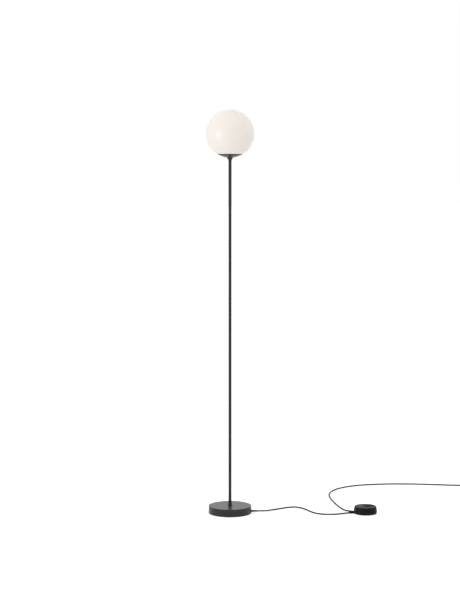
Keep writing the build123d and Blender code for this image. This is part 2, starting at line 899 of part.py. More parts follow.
parts["bulb_cap"] = make_bulb_cap()
parts["bulb_insulator"] = make_bulb_insulator()
parts["bulb_tip"] = disc(bulb_tip_radius, bulb_foot, bulb_foot + bulb_tip_height)
parts["bulb_housing"] = make_bulb_housing()
parts["bulb_led_board"] = make_led_board()
parts["bulb_diffuser"] = make_bulb_diffuser()


# ---------------------------------------------------------------- foot dimmer
at_dimmer = Pos(dimmer_x, dimmer_y, 0)
at_dial = Pos(dimmer_x + dial_offset, dimmer_y, 0)


def relief_place(side):
    """Where a strain relief's axis crosses the dimmer's wall; the cords lie side by side there."""
    offset = side * dimmer_relief_spacing / 2
    return (
        dimmer_x - math.sqrt(dimmer_radius**2 - offset**2),
        dimmer_y + offset,
        dimmer_relief_height,
    )


reliefs = {
    "dimmer_relief_in": (relief_place(-1), incoming_angle),
    "dimmer_relief_out": (relief_place(1), outgoing_angle),
}


def make_relief(place, angle):
    """Moulded strain relief through the dimmer's wall: a plain stub inside, a grooved taper outside."""
    outline = [(0, 0)] + relief_outline(0) + [(relief_length, 0)]
    taper = turned_along(place, angle, *outline)
    stub = lying_rod(place, 0, relief_root_radius, 0, dimmer_relief_stub)
    return taper + stub + Pos(*place) * Sphere(relief_root_radius)


def relief_holes(solid):
    """The solid with room cut for both strain reliefs."""
    room = relief_root_radius + seat_gap
    for place, angle in reliefs.values():
        solid -= lying_rod(place, angle, room, 0, relief_length)
        solid -= lying_rod(place, 0, room, 0, dimmer_relief_stub + seat_gap)
        solid -= Pos(*place) * Sphere(room)
    return solid


def dimmer_side(inset):
    """The dimmer's profile as (radius, height) points, drawn in from its outside by inset."""
    return (
        (dimmer_radius - inset, dimmer_foot_height),
        (dimmer_radius - dimmer_draft - inset, dimmer_height - inset),
    )


dimmer_screw_places = spots(dimmer_screw_count, dimmer_screw_circle, 45)
grip_underside = dimmer_relief_height + relief_root_radius + seat_gap / 2
grip_middle = -dimmer_radius + dimmer_relief_stub - grip_width / 4


def make_dimmer_cover():
    """Moulded cover: drafted side, rounded top, a well for the dial and bosses for the screws."""
    (foot_radius, foot), (top_radius, top) = dimmer_side(0)
    block = turned_outline((0, foot), (foot_radius, foot), (top_radius, top), (0, top))
    block = fillet(block.edges().group_by(Axis.Z)[-1], dimmer_top_edge)
    block = fillet(block.edges().group_by(Axis.Z)[0], dimmer_lower_edge)
    (foot_radius, foot), (top_radius, top) = dimmer_side(dimmer_wall)
    inside = turned_outline((0, foot), (foot_radius, foot), (top_radius, top), (0, top))
    inside = fillet(inside.edges().group_by(Axis.Z)[-1], dimmer_top_edge - dimmer_wall)
    cover = block - inside
    well_radius = dial_radius + dial_gap
    skirt_top = dimmer_height - dimmer_wall / 2
    skirt = disc(well_radius + dial_skirt_wall, dial_skirt_foot, skirt_top)
    cover += Pos(dial_offset, 0, 0) * skirt
    cover -= Pos(dial_offset, 0, 0) * disc(well_radius, dial_skirt_foot, dimmer_height)
    well_rim = cover.edges().filter_by(GeomType.CIRCLE).group_by(Axis.Z)[-1]
    rim = [edge for edge in well_rim if edge.radius < well_radius + dial_gap]
    cover = chamfer(rim, dial_gap)
    for x, y in dimmer_screw_places:
        boss_foot = dimmer_foot_height + dimmer_floor
        boss = disc(dimmer_boss_radius, boss_foot, dimmer_height - dimmer_wall / 2)
        hole_top = dimmer_foot_height + dimmer_screw_length + screw_hole_spare
        hole = disc(dimmer_screw_radius + thread_gap, boss_foot, hole_top)
        cover += Pos(x, y, 0) * boss
        cover -= Pos(x, y, 0) * hole
    return relief_holes(at_dimmer * cover)


def dimmer_screw(spare=0.0):
    """One of the dimmer's screws."""
    return countersunk_screw(
        dimmer_screw_radius,
        dimmer_screw_length,
        dimmer_screw_head_radius,
        dimmer_screw_head_height,
        spare,
    )


def grip_screw(spare=0.0):
    """The screw in the middle of the cord grip: a round head on a shank that points down."""
    shank_radius = grip_screw_radius + spare
    foot = grip_underside + grip_thickness - grip_screw_length
    head_foot = grip_underside + grip_thickness
    shank = disc(shank_radius, foot, head_foot)
    return shank + disc(grip_post_radius, head_foot, head_foot + grip_screw_head_height)


def make_dimmer_base():
    """Floor of the dimmer: a round plate with posts for the board and countersunk screw holes."""
    top = dimmer_foot_height + dimmer_floor
    plate = disc(dimmer_radius - dimmer_wall - seat_gap - dimmer_lower_edge / 2, dimmer_foot_height, top)
    post_x = board_length / 2 - board_post_radius
    post_y = board_width / 2 - board_post_radius
    for side in (-1, 1):
        for end in (-1, 1):
            place = Pos(dial_offset / 2 + end * post_x, side * post_y, 0)
            plate += place * disc(board_post_radius, top, dimmer_board_underside)
    grip_post = disc(grip_post_radius, top, grip_underside) - grip_screw(thread_gap)
    plate += Pos(grip_middle, 0, 0) * grip_post
    for x, y in dimmer_screw_places:
        plate -= Pos(x, y, dimmer_foot_height) * dimmer_screw(thread_gap)
    return relief_holes(at_dimmer * plate)


def make_dimmer_board():
    """Circuit board on the posts."""
    low = (Align.CENTER, Align.CENTER, Align.MIN)
    board = Box(board_length, board_width, board_thickness, align=low)
    board = fillet(board.edges().filter_by(Axis.Z), board_post_radius)
    return at_dimmer * (Pos(dial_offset / 2, 0, dimmer_board_underside) * board)


def make_dimmer_pot():
    """Body of the rotary control, with a guide bore for the plunger."""
    low = (Align.CENTER, Align.CENTER, Align.MIN)
    body = Pos(0, 0, dimmer_board_top) * Box(pot_width, pot_width, pot_height, align=low)
    bore = disc(plunger_rod_radius + thread_gap, dimmer_board_top + pot_floor, pot_top)
    return at_dial * (body - bore)


def make_dimmer_plunger():
    """Plunger that the dial presses down: a round head on a rod that slides in the control's bore."""
    rod = disc(plunger_rod_radius, plunger_underside - plunger_rod_length, plunger_underside)
    return at_dial * (disc(plunger_radius, plunger_underside, plunger_top) + rod)


def make_dimmer_dial():
    """Round dial with two scooped hollows, one each side of a bar that a toe or finger turns."""
    dial = disc(dial_radius, dial_underside, dial_top)
    dial = fillet(dial.edges().group_by(Axis.Z)[-1], dial_edge)
    whole = Circle(dial_scoop_radius)
    half_plane = Rectangle(
        2 * dial_scoop_radius, dial_scoop_radius, align=(Align.CENTER, Align.MIN)
    )
    for turn in (0, 180):
        scoop = whole & (Pos(0, dial_bar_width / 2) * half_plane)
        scoop = fillet(scoop.vertices(), dial_bar_width / 4)
        cut = extrude(Pos(0, 0, dial_top) * scoop, -dial_scoop_depth, taper=dial_scoop_slope)
        dial -= Rot(0, 0, turn) * cut
    dial -= disc(spindle_radius + thread_gap, dial_underside, spindle_top)
    return at_dial * (Rot(0, 0, dial_bar_angle) * dial)


def make_dimmer_choke():
    """Ring-shaped winding on the board."""
    return at_dimmer * (
        Pos(choke_x, choke_y, dimmer_board_top + choke_wire_radius)
        * Torus(choke_radius, choke_wire_radius)
    )


terminal_x = dial_offset / 2 - board_length / 2 + terminal_length / 2


def make_dimmer_terminals():
    """Terminal block at the board's edge, with four wire holes."""
    low = (Align.CENTER, Align.CENTER, Align.MIN)
    block = Box(terminal_length, terminal_width, terminal_height, align=low)
    block = Pos(terminal_x, 0, dimmer_board_top) * block
    step = terminal_width / 4
    height = dimmer_board_top + terminal_height / 2
    for n in range(4):
        hole_y = (n - 1.5) * step
        place = (terminal_x - terminal_length / 2, hole_y, height)
        block -= lying_rod(place, 0, terminal_hole_radius, 0, terminal_length / 2)
    return at_dimmer * block


def make_dimmer_wires():
    """Two cores from each strain relief's inner end to the terminal block."""
    wires = []
    step = terminal_width / 4
    height = dimmer_board_top + terminal_height / 2
    for row, (place, _) in enumerate(reliefs.values()):
        start = along(place, 0, dimmer_relief_stub)
        for side in (0, 1):
            hole_y = (2 * row + side - 1.5) * step
            inner_x = dimmer_x + terminal_x - terminal_length / 4
            first = (
                start[0],
                start[1] + (side - 0.5) * wire_spread,
                start[2] + cord_radius / 2,
            )
            points = (
                first,
                (first[0] + wire_spread, first[1], first[2]),
                (inner_x - terminal_length / 2, dimmer_y + hole_y, height),
                (inner_x, dimmer_y + hole_y, height),
            )
            path = FilletPolyline(*points, radius=wire_radius)
            wires.append(sweep(Plane(path @ 0, z_dir=path % 0) * Circle(wire_radius), path=path))
    return Compound(children=wires)


def make_dimmer_cord_grip():
    """Bar that holds both strain reliefs down on the dimmer's floor."""
    low = (Align.CENTER, Align.CENTER, Align.MIN)
    bar = Box(grip_width, grip_length, grip_thickness, align=low)
    bar = fillet(bar.edges().filter_by(Axis.Z), grip_width / 4)
    bar = Pos(0, 0, grip_underside) * bar - grip_screw(thread_gap)
    return at_dimmer * (Pos(grip_middle, 0, 0) * bar)


parts["dimmer_cover"] = make_dimmer_cover()
parts["dimmer_base"] = make_dimmer_base()
parts["dimmer_feet"] = Compound(
    children=[
        at_dimmer * (Pos(x, y, 0) * disc(dimmer_foot_radius, 0, dimmer_foot_height))
        for x, y in dimmer_screw_places
    ]
)
parts["dimmer_screws"] = Compound(
    children=[
        at_dimmer * (Pos(x, y, dimmer_foot_height) * dimmer_screw()) for x, y in dimmer_screw_places
    ]
    + [at_dimmer * (Pos(grip_middle, 0, 0) * grip_screw())]
)
for name, (place, angle) in reliefs.items():
    parts[name] = make_relief(place, angle)
parts["dimmer_cord_grip"] = make_dimmer_cord_grip()
parts["dimmer_board"] = make_dimmer_board()
parts["dimmer_pot"] = make_dimmer_pot()
parts["dimmer_choke"] = make_dimmer_choke()
parts["dimmer_terminals"] = make_dimmer_terminals()
parts["dimmer_wires"] = make_dimmer_wires()
parts["dimmer_plunger"] = make_dimmer_plunger()
parts["dimmer_spindle"] = at_dial * disc(spindle_radius, plunger_top, spindle_top)
parts["dimmer_dial"] = make_dimmer_dial()


# ---------------------------------------------------------------- coil of spare cord
coil_base = tie_thickness + seat_gap + cord_radius
coil_half_turns = coil_turns / 2
coil_outer_radius = coil_mean_radius + coil_pitch * coil_half_turns / 2


def coil_point(turns):
    """The coil's centre line: spirals in on the lower layer, climbs, and spirals out on the upper."""
    from_middle = turns - coil_half_turns
    radius = coil_outer_radius - coil_pitch * (coil_half_turns - abs(from_middle))
    climb = min(max(from_middle / coil_climb_turns + 1 / 2, 0), 1)
    rise = coil_layer_rise * climb**2 * (3 - 2 * climb)
    angle = math.radians(coil_start_angle + 360 * turns)
    return Vector(
        coil_centre_x + radius * math.cos(angle),
        coil_centre_y + radius * math.sin(angle),
        coil_base + rise,
    )


def coil_direction(turns):
    """The unit direction of the coil's centre line, flat where it lies on a layer."""
    step = 1e-4
    return (coil_point(turns + step) - coil_point(turns - step)).normalized()


def biarc(start, start_direction, end, end_direction):
    """Two arcs that join two points and keep both directions, with equal tangent lengths."""
    chord = end - start
    both = start_direction + end_direction
    spread = 2 * (1 - start_direction.dot(end_direction))
    across = chord.dot(both)
    tangent = (-across + math.sqrt(across**2 + spread * chord.dot(chord))) / spread
    joint = (start + start_direction * tangent + end - end_direction * tangent) * 0.5
    first = Edge.make_tangent_arc(start, start_direction, joint)
    last = Edge.make_tangent_arc(end, end_direction * -1, joint)
    return [first, last]


def make_cord_coil():
    """The spare cord: one unbroken tube, straight for one diameter at each end."""
    stations = [coil_turns * n / coil_sections for n in range(coil_sections + 1)]
    edges = [Edge.make_line(coil_point(0) - coil_direction(0) * cord_diameter, coil_point(0))]
    for here, there in zip(stations, stations[1:]):
        edges += biarc(coil_point(here), coil_direction(here), coil_point(there), coil_direction(there))
    last = coil_point(coil_turns)
    edges.append(Edge.make_line(last, last + coil_direction(coil_turns) * cord_diameter))
    path = Wire(edges)
    start = edges[0] @ 0
    tube = sweep(Plane(start, z_dir=coil_direction(0)) * Circle(cord_radius), path=path)
    drift = tube.volume / (math.pi * cord_radius**2 * path.length) - 1
    print(f"coil: length {path.length:.0f}, volume differs from section times length by {drift:.4%}")
    return tube


def coil_least_gap():
    """The least gap between the coil's turns, measured on points of its centre line."""
    per_turn = 48
    points = [coil_point(n / per_turn) for n in range(round(coil_turns * per_turn) + 1)]
    apart = per_turn // 2
    return min(
        (there - here).length - cord_diameter
        for n, here in enumerate(points)
        for there in points[n + apart :]
    )


def make_coil_tie():
    """Flat strap round all turns at one place of the coil."""
    first_turns = (tie_angle - coil_start_angle) / 360 % 1
    turns_here = [first_turns + n for n in range(math.ceil(coil_turns - first_turns))]
    centre = Vector(coil_centre_x, coil_centre_y, 0)
    distances = [coil_point(turns) - centre for turns in turns_here]
    radii = [math.hypot(distance.X, distance.Y) for distance in distances]
    inner = min(radii) - cord_radius - tie_side_gap
    outer = max(radii) + cord_radius + tie_side_gap / 2
    top = coil_base + coil_layer_rise + cord_radius + seat_gap
    low = (Align.MIN, Align.CENTER, Align.MIN)
    hollow = Box(outer - inner, tie_width, top - tie_thickness, align=low)
    strap = Box(outer - inner + 2 * tie_thickness, tie_width, top + tie_thickness, align=low)
    strap = Pos(-tie_thickness, 0, -tie_thickness) * strap
    strap = fillet(strap.edges().filter_by(Axis.Y), 2 * tie_thickness)
    strap -= fillet(hollow.edges().filter_by(Axis.Y), tie_thickness)
    strap = Pos(inner, 0, tie_thickness) * strap
    return Pos(coil_centre_x, coil_centre_y, 0) * Rot(0, 0, tie_angle) * strap


coil_start = coil_point(0) - coil_direction(0) * cord_diameter
coil_end = coil_point(coil_turns) + coil_direction(coil_turns) * cord_diameter
parts["cord_coil"] = make_cord_coil()
print(f"coil: least gap between turns {coil_least_gap():.2f}")
parts["coil_tie"] = make_coil_tie()

# ---------------------------------------------------------------- free cord
incoming_tip = along(*reliefs["dimmer_relief_in"], relief_length)
outgoing_tip = along(*reliefs["dimmer_relief_out"], relief_length)
gland_tip_place = (gland_tip, 0, cord_exit_height)

cord_to_dimmer_route = [
    gland_tip_place,
    along(gland_tip_place, 0, cord_run),
    (157, 15, 6),
    (184, 43, 4),
    (216, 70, 3),
    (251, 96, 3),
    (280, 101, 3),
    (304, 83, 3),
    (325, 45, 3),
    (348, -8, 3),
    (379, -39, 3),
    (418, -44, 3),
    (452, -41, 3.6),
    along(incoming_tip, incoming_angle, cord_run),
    incoming_tip,
]
parts["cord_to_dimmer"] = cord_tube("cord to the dimmer", cord_to_dimmer_route)

cord_to_plug_route = [
    outgoing_tip,
    along(outgoing_tip, outgoing_angle, cord_run),
    (478, 52, 3.6),
    (468, 95, 3),
    (456, 155, 3),
    (446, 218, 3),
    (438, 288, 3),
    (437, 348, 3),
    (448, 412, 3),
    (477, 473, 3),
    (524, 522, 3),
    (585, 558, 3),
    (655, 577, 3),
    (730, 587, 3),
    (805, 586, 3),
    (880, 580, 3),
    (950, 568, 3),
    (1015, 558, 3),
    tuple(coil_start - coil_direction(0) * coil_lead_in),
    tuple(coil_start),
]
parts["cord_to_plug"] = cord_tube("cord to the plug", cord_to_plug_route)

# ---------------------------------------------------------------- plug
plug_axis_height = plug_thickness / 2
plug_relief_tip = (coil_end.X + tail_shift_x, coil_end.Y + tail_shift_y, plug_axis_height)
plug_place = along(plug_relief_tip, plug_angle, relief_length)

cord_tail_route = [
    tuple(coil_end),
    tuple(coil_end + coil_direction(coil_turns) * tail_run),
    along(plug_relief_tip, plug_angle, -tail_run),
    plug_relief_tip,
]
parts["cord_tail"] = cord_tube("cord's tail", cord_tail_route)


def make_plug_body():
    """Flat moulded plug, widest near its face, drawn in towards the cord."""
    half_outline = (
        (0, plug_cord_end_width / 2),
        (plug_widest, plug_width / 2),
        (plug_length, plug_face_width / 2),
    )
    mirrored = [(x, -y) for x, y in reversed(half_outline)]
    outline = make_face(Polyline(*half_outline, *mirrored, close=True))
    waist = [corner for corner in outline.vertices() if corner.X < plug_length - plug_corner]
    outline = fillet(waist, plug_corner)
    body = extrude(outline, plug_thickness / 2, both=True)
    rims = [
        edge
        for edge in body.edges()
        if abs(abs(edge.center().Z) - plug_thickness / 2) < seat_gap
    ]
    body = fillet(rims, plug_edge)
    for side in (-1, 1):
        place = (plug_length, side * pin_spacing / 2, 0)
        body -= lying_rod(place, 0, pin_root_radius + thread_gap, -pin_depth, 0)
    return body


def make_pin(side):
    """One round pin with a rounded tip, on a thinner root that is set into the plug's face."""
    place = (plug_length, side * pin_spacing / 2, 0)
    pin = lying_rod(place, 0, pin_radius, 0, pin_length)
    pin = fillet(pin.edges().group_by(Axis.X)[-1], pin_tip_rounding)
    return pin + lying_rod(place, 0, pin_root_radius, -pin_depth, 0)


def make_plug_relief():
    """Grooved taper at the plug's cord end."""
    outline = [(0, 0)] + relief_outline(0) + [(relief_length, 0)]
    return turned_along(plug_place, plug_angle + 180, *outline)


at_plug = Pos(*plug_place) * Rot(0, 0, plug_angle)
parts["plug_body"] = at_plug * make_plug_body()
parts["plug_pins"] = Compound(children=[at_plug * make_pin(side) for side in (-1, 1)])
parts["plug_relief"] = make_plug_relief()

# ---------------------------------------------------------------- one file for each piece
os.makedirs("parts", exist_ok=True)
for name, shape in parts.items():
    export_step(shape, f"parts/{name}.step")
print(len(parts), "pieces")
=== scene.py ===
"""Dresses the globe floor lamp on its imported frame: glass, painted metal, foot dimmer, cords and stage.

Metres, +Z up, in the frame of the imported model. Each operator makes one piece, or one group of like
pieces, as surfaces of two parameters, gives it its finish and lets it ride on its body.
"""

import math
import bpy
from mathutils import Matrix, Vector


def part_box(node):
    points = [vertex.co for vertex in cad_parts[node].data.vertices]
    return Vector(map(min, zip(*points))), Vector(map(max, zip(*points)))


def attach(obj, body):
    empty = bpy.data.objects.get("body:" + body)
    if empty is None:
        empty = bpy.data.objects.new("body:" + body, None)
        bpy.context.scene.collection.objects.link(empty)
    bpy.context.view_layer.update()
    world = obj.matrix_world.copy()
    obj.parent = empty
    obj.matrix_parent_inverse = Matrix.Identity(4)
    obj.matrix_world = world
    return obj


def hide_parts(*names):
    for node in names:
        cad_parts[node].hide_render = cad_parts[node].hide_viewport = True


bl_info = {
    "name": "Globe Floor Lamp",
    "version": (1, 0, 0),
    "blender": (4, 5, 0),
    "location": "View3D > Sidebar > Floor Lamp",
    "description": "Builds the dressed globe floor lamp with its foot dimmer and cords",
    "category": "Add Mesh",
}

import bpy
import numpy as np
from mathutils import Vector

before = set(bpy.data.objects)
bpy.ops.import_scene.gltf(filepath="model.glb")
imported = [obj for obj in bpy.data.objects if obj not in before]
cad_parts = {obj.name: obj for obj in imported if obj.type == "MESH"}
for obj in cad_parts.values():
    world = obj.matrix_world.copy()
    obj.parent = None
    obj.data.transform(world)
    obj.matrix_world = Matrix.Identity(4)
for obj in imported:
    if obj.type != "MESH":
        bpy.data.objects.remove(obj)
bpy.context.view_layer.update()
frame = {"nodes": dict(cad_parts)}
nodes = frame["nodes"]

MM = 0.001


def low(node, axis=2):
    """A CAD node's lowest coordinate along an axis."""
    return float(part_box(node)[0][axis])


def high(node, axis=2):
    """A CAD node's highest coordinate along an axis."""
    return float(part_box(node)[1][axis])


def half_width(node, axis=1):
    """Half of a CAD node's width along an axis: the radius of a round piece."""
    return (high(node, axis) - low(node, axis)) / 2


def middle(node, axis):
    """The middle of a CAD node along an axis."""
    return (high(node, axis) + low(node, axis)) / 2


GLOBE_MIDDLE = high("globe") - half_width("globe")
DIMMER_PLACE = (middle("dimmer_cover", 0), middle("dimmer_cover", 1))
DIAL_PLACE = (middle("dimmer_dial", 0), middle("dimmer_dial", 1))

# Clearances and bores that no box shows
TUBE_HOLE = 5.25 * MM
TUBE_THREAD = 5.05 * MM
ROD_BORE = 4.5 * MM
COLLAR_BORE = 6.55 * MM

# Strain reliefs
RELIEF_LENGTH = 22 * MM
RELIEF_GROOVES = 4
RELIEF_GROOVE_DEPTH = 0.5 * MM
RELIEF_GROOVE_WIDTH = 1.2 * MM
RELIEF_ROOT = 4.2 * MM
RELIEF_TIP = 3.5 * MM
RELIEF_SUNK = 4 * MM
GLAND_NECK = 4.4 * MM
GLAND_FLANGE = 6.2 * MM
GLAND_TIP = (high("cord_gland", 0), 0.0, 8 * MM)
DIMMER_RADIUS = 49 * MM
DIMMER_RELIEF_HEIGHT = 5 * MM
DIMMER_RELIEF_SPACING = 12.5 * MM
ANGLE_IN = math.radians(200)
ANGLE_OUT = math.radians(140)


def onward(place, angle, distance):
    """The point at a distance from place in a flat direction, at the same height."""
    return (place[0] + distance * math.cos(angle), place[1] + distance * math.sin(angle), place[2])


def dimmer_wall_place(side):
    """Where a strain relief's axis crosses the dimmer's wall: a chord's end on its round outline."""
    offset = side * DIMMER_RELIEF_SPACING / 2
    along = math.sqrt(DIMMER_RADIUS**2 - offset**2)
    return (DIMMER_PLACE[0] - along, DIMMER_PLACE[1] + offset, DIMMER_RELIEF_HEIGHT)


WALL_IN = dimmer_wall_place(-1)
WALL_OUT = dimmer_wall_place(1)
TIP_IN = onward(WALL_IN, ANGLE_IN, RELIEF_LENGTH)
TIP_OUT = onward(WALL_OUT, ANGLE_OUT, RELIEF_LENGTH)
# How far the cord runs straight on from a relief
CORD_RUN = 21 * MM

# The coil of spare cord: it starts at COIL_START and runs counterclockwise. The cord comes to it in a
# line from COIL_LEAD away, and its first and last stretches of COIL_STRAIGHT stay in line with it.
COIL_PLACE = (1.120, 0.584)
COIL_MEAN_RADIUS = 35 * MM
COIL_TURNS = 3.25
COIL_PITCH = 6.8 * MM
COIL_RISE = 6.6 * MM
COIL_FOOT = 3.8 * MM
COIL_START = math.radians(-98)
COIL_OUTER_RADIUS = COIL_MEAN_RADIUS + COIL_PITCH * COIL_TURNS / 4
COIL_LEAD = 44 * MM
COIL_STRAIGHT = 6 * MM
TIE_ANGLE = math.radians(110)

# The plug: how far its relief's tip stands from the coil's end, and its direction
PLUG_SHIFT = (6.5 * MM, 50 * MM)
PLUG_HEIGHT = 6.85 * MM
PLUG_ANGLE = math.radians(84)
PLUG_LENGTH = 36 * MM
PLUG_RUN = 18 * MM
PIN_LENGTH = 19 * MM
PIN_RADIUS = 2 * MM
PIN_SUNK = 4 * MM
PIN_SPACING = 18.6 * MM


def coil_radius(turns):
    """The coil's radius falls by a pitch each turn until its middle, and grows again after it."""
    half = COIL_TURNS / 2
    return COIL_OUTER_RADIUS - COIL_PITCH * (half - abs(turns - half))


def coil_height(turns):
    """The coil lies on the floor for its first half, climbs a layer in half a turn and stays up."""
    climb = np.clip((turns - COIL_TURNS / 2) / 0.5 + 0.5, 0, 1)
    return COIL_FOOT + COIL_RISE * climb**2 * (3 - 2 * climb)


def coil_line(turns, outward=1.0):
    """Points at these numbers of turns: radius times cosine and sine of the angle, and the height."""
    angle = COIL_START + 2 * np.pi * turns
    radius = coil_radius(turns) * outward
    return np.stack(
        [COIL_PLACE[0] + radius * np.cos(angle), COIL_PLACE[1] + radius * np.sin(angle), coil_height(turns)],
        -1,
    )


def coil_heading(turns):
    """The coil's direction at these turns: from the point just before to the one just after."""
    step = 1e-4
    before, after = coil_line(np.array([turns - step, turns + step]))
    return (after - before) / np.linalg.norm(after - before)


COIL_END = coil_line(np.array([COIL_TURNS]))[0] + coil_heading(COIL_TURNS) * COIL_STRAIGHT
PLUG_TIP = (COIL_END[0] + PLUG_SHIFT[0], COIL_END[1] + PLUG_SHIFT[1], PLUG_HEIGHT)
PLUG_PLACE = onward(PLUG_TIP, PLUG_ANGLE, RELIEF_LENGTH)


# ---------------------------------------------------------------- settings
class LampGlobeSettings(bpy.types.PropertyGroup):
    """Sizes and colour of the glass globe"""

    radius: bpy.props.FloatProperty(
        name="Radius", description="Outside radius of the globe", default=half_width("globe"), unit="LENGTH"
    )
    wall: bpy.props.FloatProperty(
        name="Wall", description="Thickness of the glass", default=3 * MM, unit="LENGTH"
    )
    mouth_radius: bpy.props.FloatProperty(
        name="Mouth radius", description="Radius inside the turned-in lip", default=45 * MM, unit="LENGTH"
    )
    dish_radius: bpy.props.FloatProperty(
        name="Dish radius",
        description="Radius of the rim of the dish under the globe",
        default=half_width("holder_dish"),
        unit="LENGTH",
    )
    colour: bpy.props.FloatVectorProperty(
        name="Opal colour",
        description="Colour of the opal glass",
        subtype="COLOR",
        size=3,
        min=0,
        max=1,
        default=(0.915, 0.818, 0.735),
    )
    roughness: bpy.props.FloatProperty(
        name="Roughness",
        description="Roughness of the glass surface",
        default=0.3,
        min=0,
        max=1,
        subtype="FACTOR",
    )


class LampStandSettings(bpy.types.PropertyGroup):
    """Sizes and paint of the base, the rod and the collars"""

    base_radius: bpy.props.FloatProperty(
        name="Base radius", description="Radius of the base", default=half_width("base_cover"), unit="LENGTH"
    )
    base_edge: bpy.props.FloatProperty(
        name="Base edge", description="Rounding of the base's top edge", default=1.6 * MM, unit="LENGTH"
    )
    rod_radius: bpy.props.FloatProperty(
        name="Rod radius", description="Radius of the rod", default=half_width("rod_lower"), unit="LENGTH"
    )
    paint: bpy.props.FloatVectorProperty(
        name="Paint",
        description="Colour of the satin paint",
        subtype="COLOR",
        size=3,
        min=0,
        max=1,
        default=(0.016, 0.016, 0.0162),
    )
    roughness: bpy.props.FloatProperty(
        name="Roughness", description="Roughness of the paint", default=0.3, min=0, max=1, subtype="FACTOR"
    )


class LampDimmerSettings(bpy.types.PropertyGroup):
    """Sizes and plastic of the foot dimmer"""

    top_edge: bpy.props.FloatProperty(
        name="Top edge", description="Rounding of the cover's top edge", default=4 * MM, unit="LENGTH"
    )
    hollow_radius: bpy.props.FloatProperty(
        name="Hollow radius",
        description="Radius of the round edge of the dial's hollows",
        default=21.5 * MM,
        unit="LENGTH",
    )
    hollow_depth: bpy.props.FloatProperty(
        name="Hollow depth", description="Depth of the dial's hollows", default=7 * MM, unit="LENGTH"
    )
    bar_width: bpy.props.FloatProperty(
        name="Bar width", description="Width of the bar between the hollows", default=9 * MM, unit="LENGTH"
    )
    bar_angle: bpy.props.FloatProperty(
        name="Bar angle",
        description="Direction of the bar in plan",
        default=math.radians(-34),
        subtype="ANGLE",
    )
    plastic: bpy.props.FloatVectorProperty(
        name="Plastic",
        description="Colour of the moulded plastic",
        subtype="COLOR",
        size=3,
        min=0,
        max=1,
        default=(0.006, 0.006, 0.0061),
    )
    roughness: bpy.props.FloatProperty(
        name="Roughness", description="Roughness of the plastic", default=0.4, min=0, max=1, subtype="FACTOR"
    )


class LampCordSettings(bpy.types.PropertyGroup):
    """Size and sheath of the cords"""

    diameter: bpy.props.FloatProperty(
        name="Diameter", description="Diameter of the round cord", default=6 * MM, unit="LENGTH"
    )
    points_per_turn: bpy.props.IntProperty(
        name="Points per turn", description="Control points in each turn of the coil", default=16, min=12
    )
    sheath: bpy.props.FloatVectorProperty(
        name="Sheath",
        description="Colour of the cord's sheath",
        subtype="COLOR",
        size=3,
        min=0,
        max=1,
        default=(0.012, 0.012, 0.0122),
    )


class LampStageSettings(bpy.types.PropertyGroup):
    """Camera, lamps and white surroundings"""

    lens: bpy.props.FloatProperty(name="Lens", description="Focal length for a 36 mm picture", default=95.42)
    camera_distance: bpy.props.FloatProperty(
        name="Camera distance", description="How far the camera stands off", default=6.7302, unit="LENGTH"
    )
    camera_height: bpy.props.FloatProperty(
        name="Camera height", description="Height of the camera", default=1.5047, unit="LENGTH"
    )
    camera_tilt: bpy.props.FloatProperty(
        name="Camera tilt",
        description="How far the camera looks down",
        default=math.radians(5.3687),
        subtype="ANGLE",
    )
    key_power: bpy.props.FloatProperty(
        name="Key lamp", description="Power of the lamp at the left", default=27.0, unit="POWER"
    )
    top_power: bpy.props.FloatProperty(
        name="Top lamp", description="Power of the lamp above", default=4.0, unit="POWER"
    )
    room_light: bpy.props.FloatProperty(
        name="Room light", description="Strength of the even light all round", default=1.0, min=0
    )
    floor_glow: bpy.props.FloatProperty(
        name="Floor white",
        description="White that the camera sees in the floor besides the light that falls on it",
        default=0.4,
        min=0,
        max=1,
        subtype="FACTOR",
    )


# ---------------------------------------------------------------- surfaces
def slerp(start, end, steps):
    """Points on the short arc between two vectors of equal length: each end's share is the sine of
    what is left of the angle to it, over the sine of the whole angle."""
    share = np.linspace(0, 1, steps + 1)[:, None]
    cosine = start @ end / (np.linalg.norm(start) * np.linalg.norm(end))
    angle = math.acos(min(max(cosine, -1), 1))
    return (np.sin((1 - share) * angle) * start + np.sin(share * angle) * end) / math.sin(angle)


def rounded(corners, steps=6, support=0.3 * MM):
    """An outline with round corners, from rows of (radius, height, rounding).

    The arc in a corner touches both sides at rounding / tan(half the angle between them). Its middle
    lies on the line that halves that angle. One more point on each side keeps the flats flat.
    """
    outline = []
    for n, (x, y, rounding) in enumerate(corners):
        here = np.array([x, y])
        if rounding == 0 or n in (0, len(corners) - 1):
            outline.append(here[None])
            continue
        before = np.array(corners[n - 1][:2]) - here
        after = np.array(corners[n + 1][:2]) - here
        room = 0.48 * min(np.linalg.norm(before), np.linalg.norm(after))
        before = before / np.linalg.norm(before)
        after = after / np.linalg.norm(after)
        half = math.acos(min(max(before @ after, -1), 1)) / 2
        reach = min(rounding / math.tan(half), room)
        radius = reach * math.tan(half)
        middle = here + (before + after) / np.linalg.norm(before + after) * radius / math.sin(half)
        start, end = here + before * reach, here + after * reach
        arc = middle + slerp(start - middle, end - middle, steps)
        spare = min(support, 0.9 * (room - reach))
        if spare > 0.01 * MM:
            arc = np.vstack([start + before * spare, arc, end + after * spare])
        outline.append(arc)
    return np.vstack(outline)


def bow(start, end, radius, steps=12):
    """An arc between two outline points. Its middle is on the right of the way from start to end."""
    start, end = np.array(start), np.array(end)
    half = (end - start) / 2
    reach = np.linalg.norm(half)
    side = np.array([half[1], -half[0]]) / reach * math.copysign(1, radius)
    middle = start + half + side * math.sqrt(radius**2 - reach**2)
    return middle + slerp(start - middle, end - middle, steps)


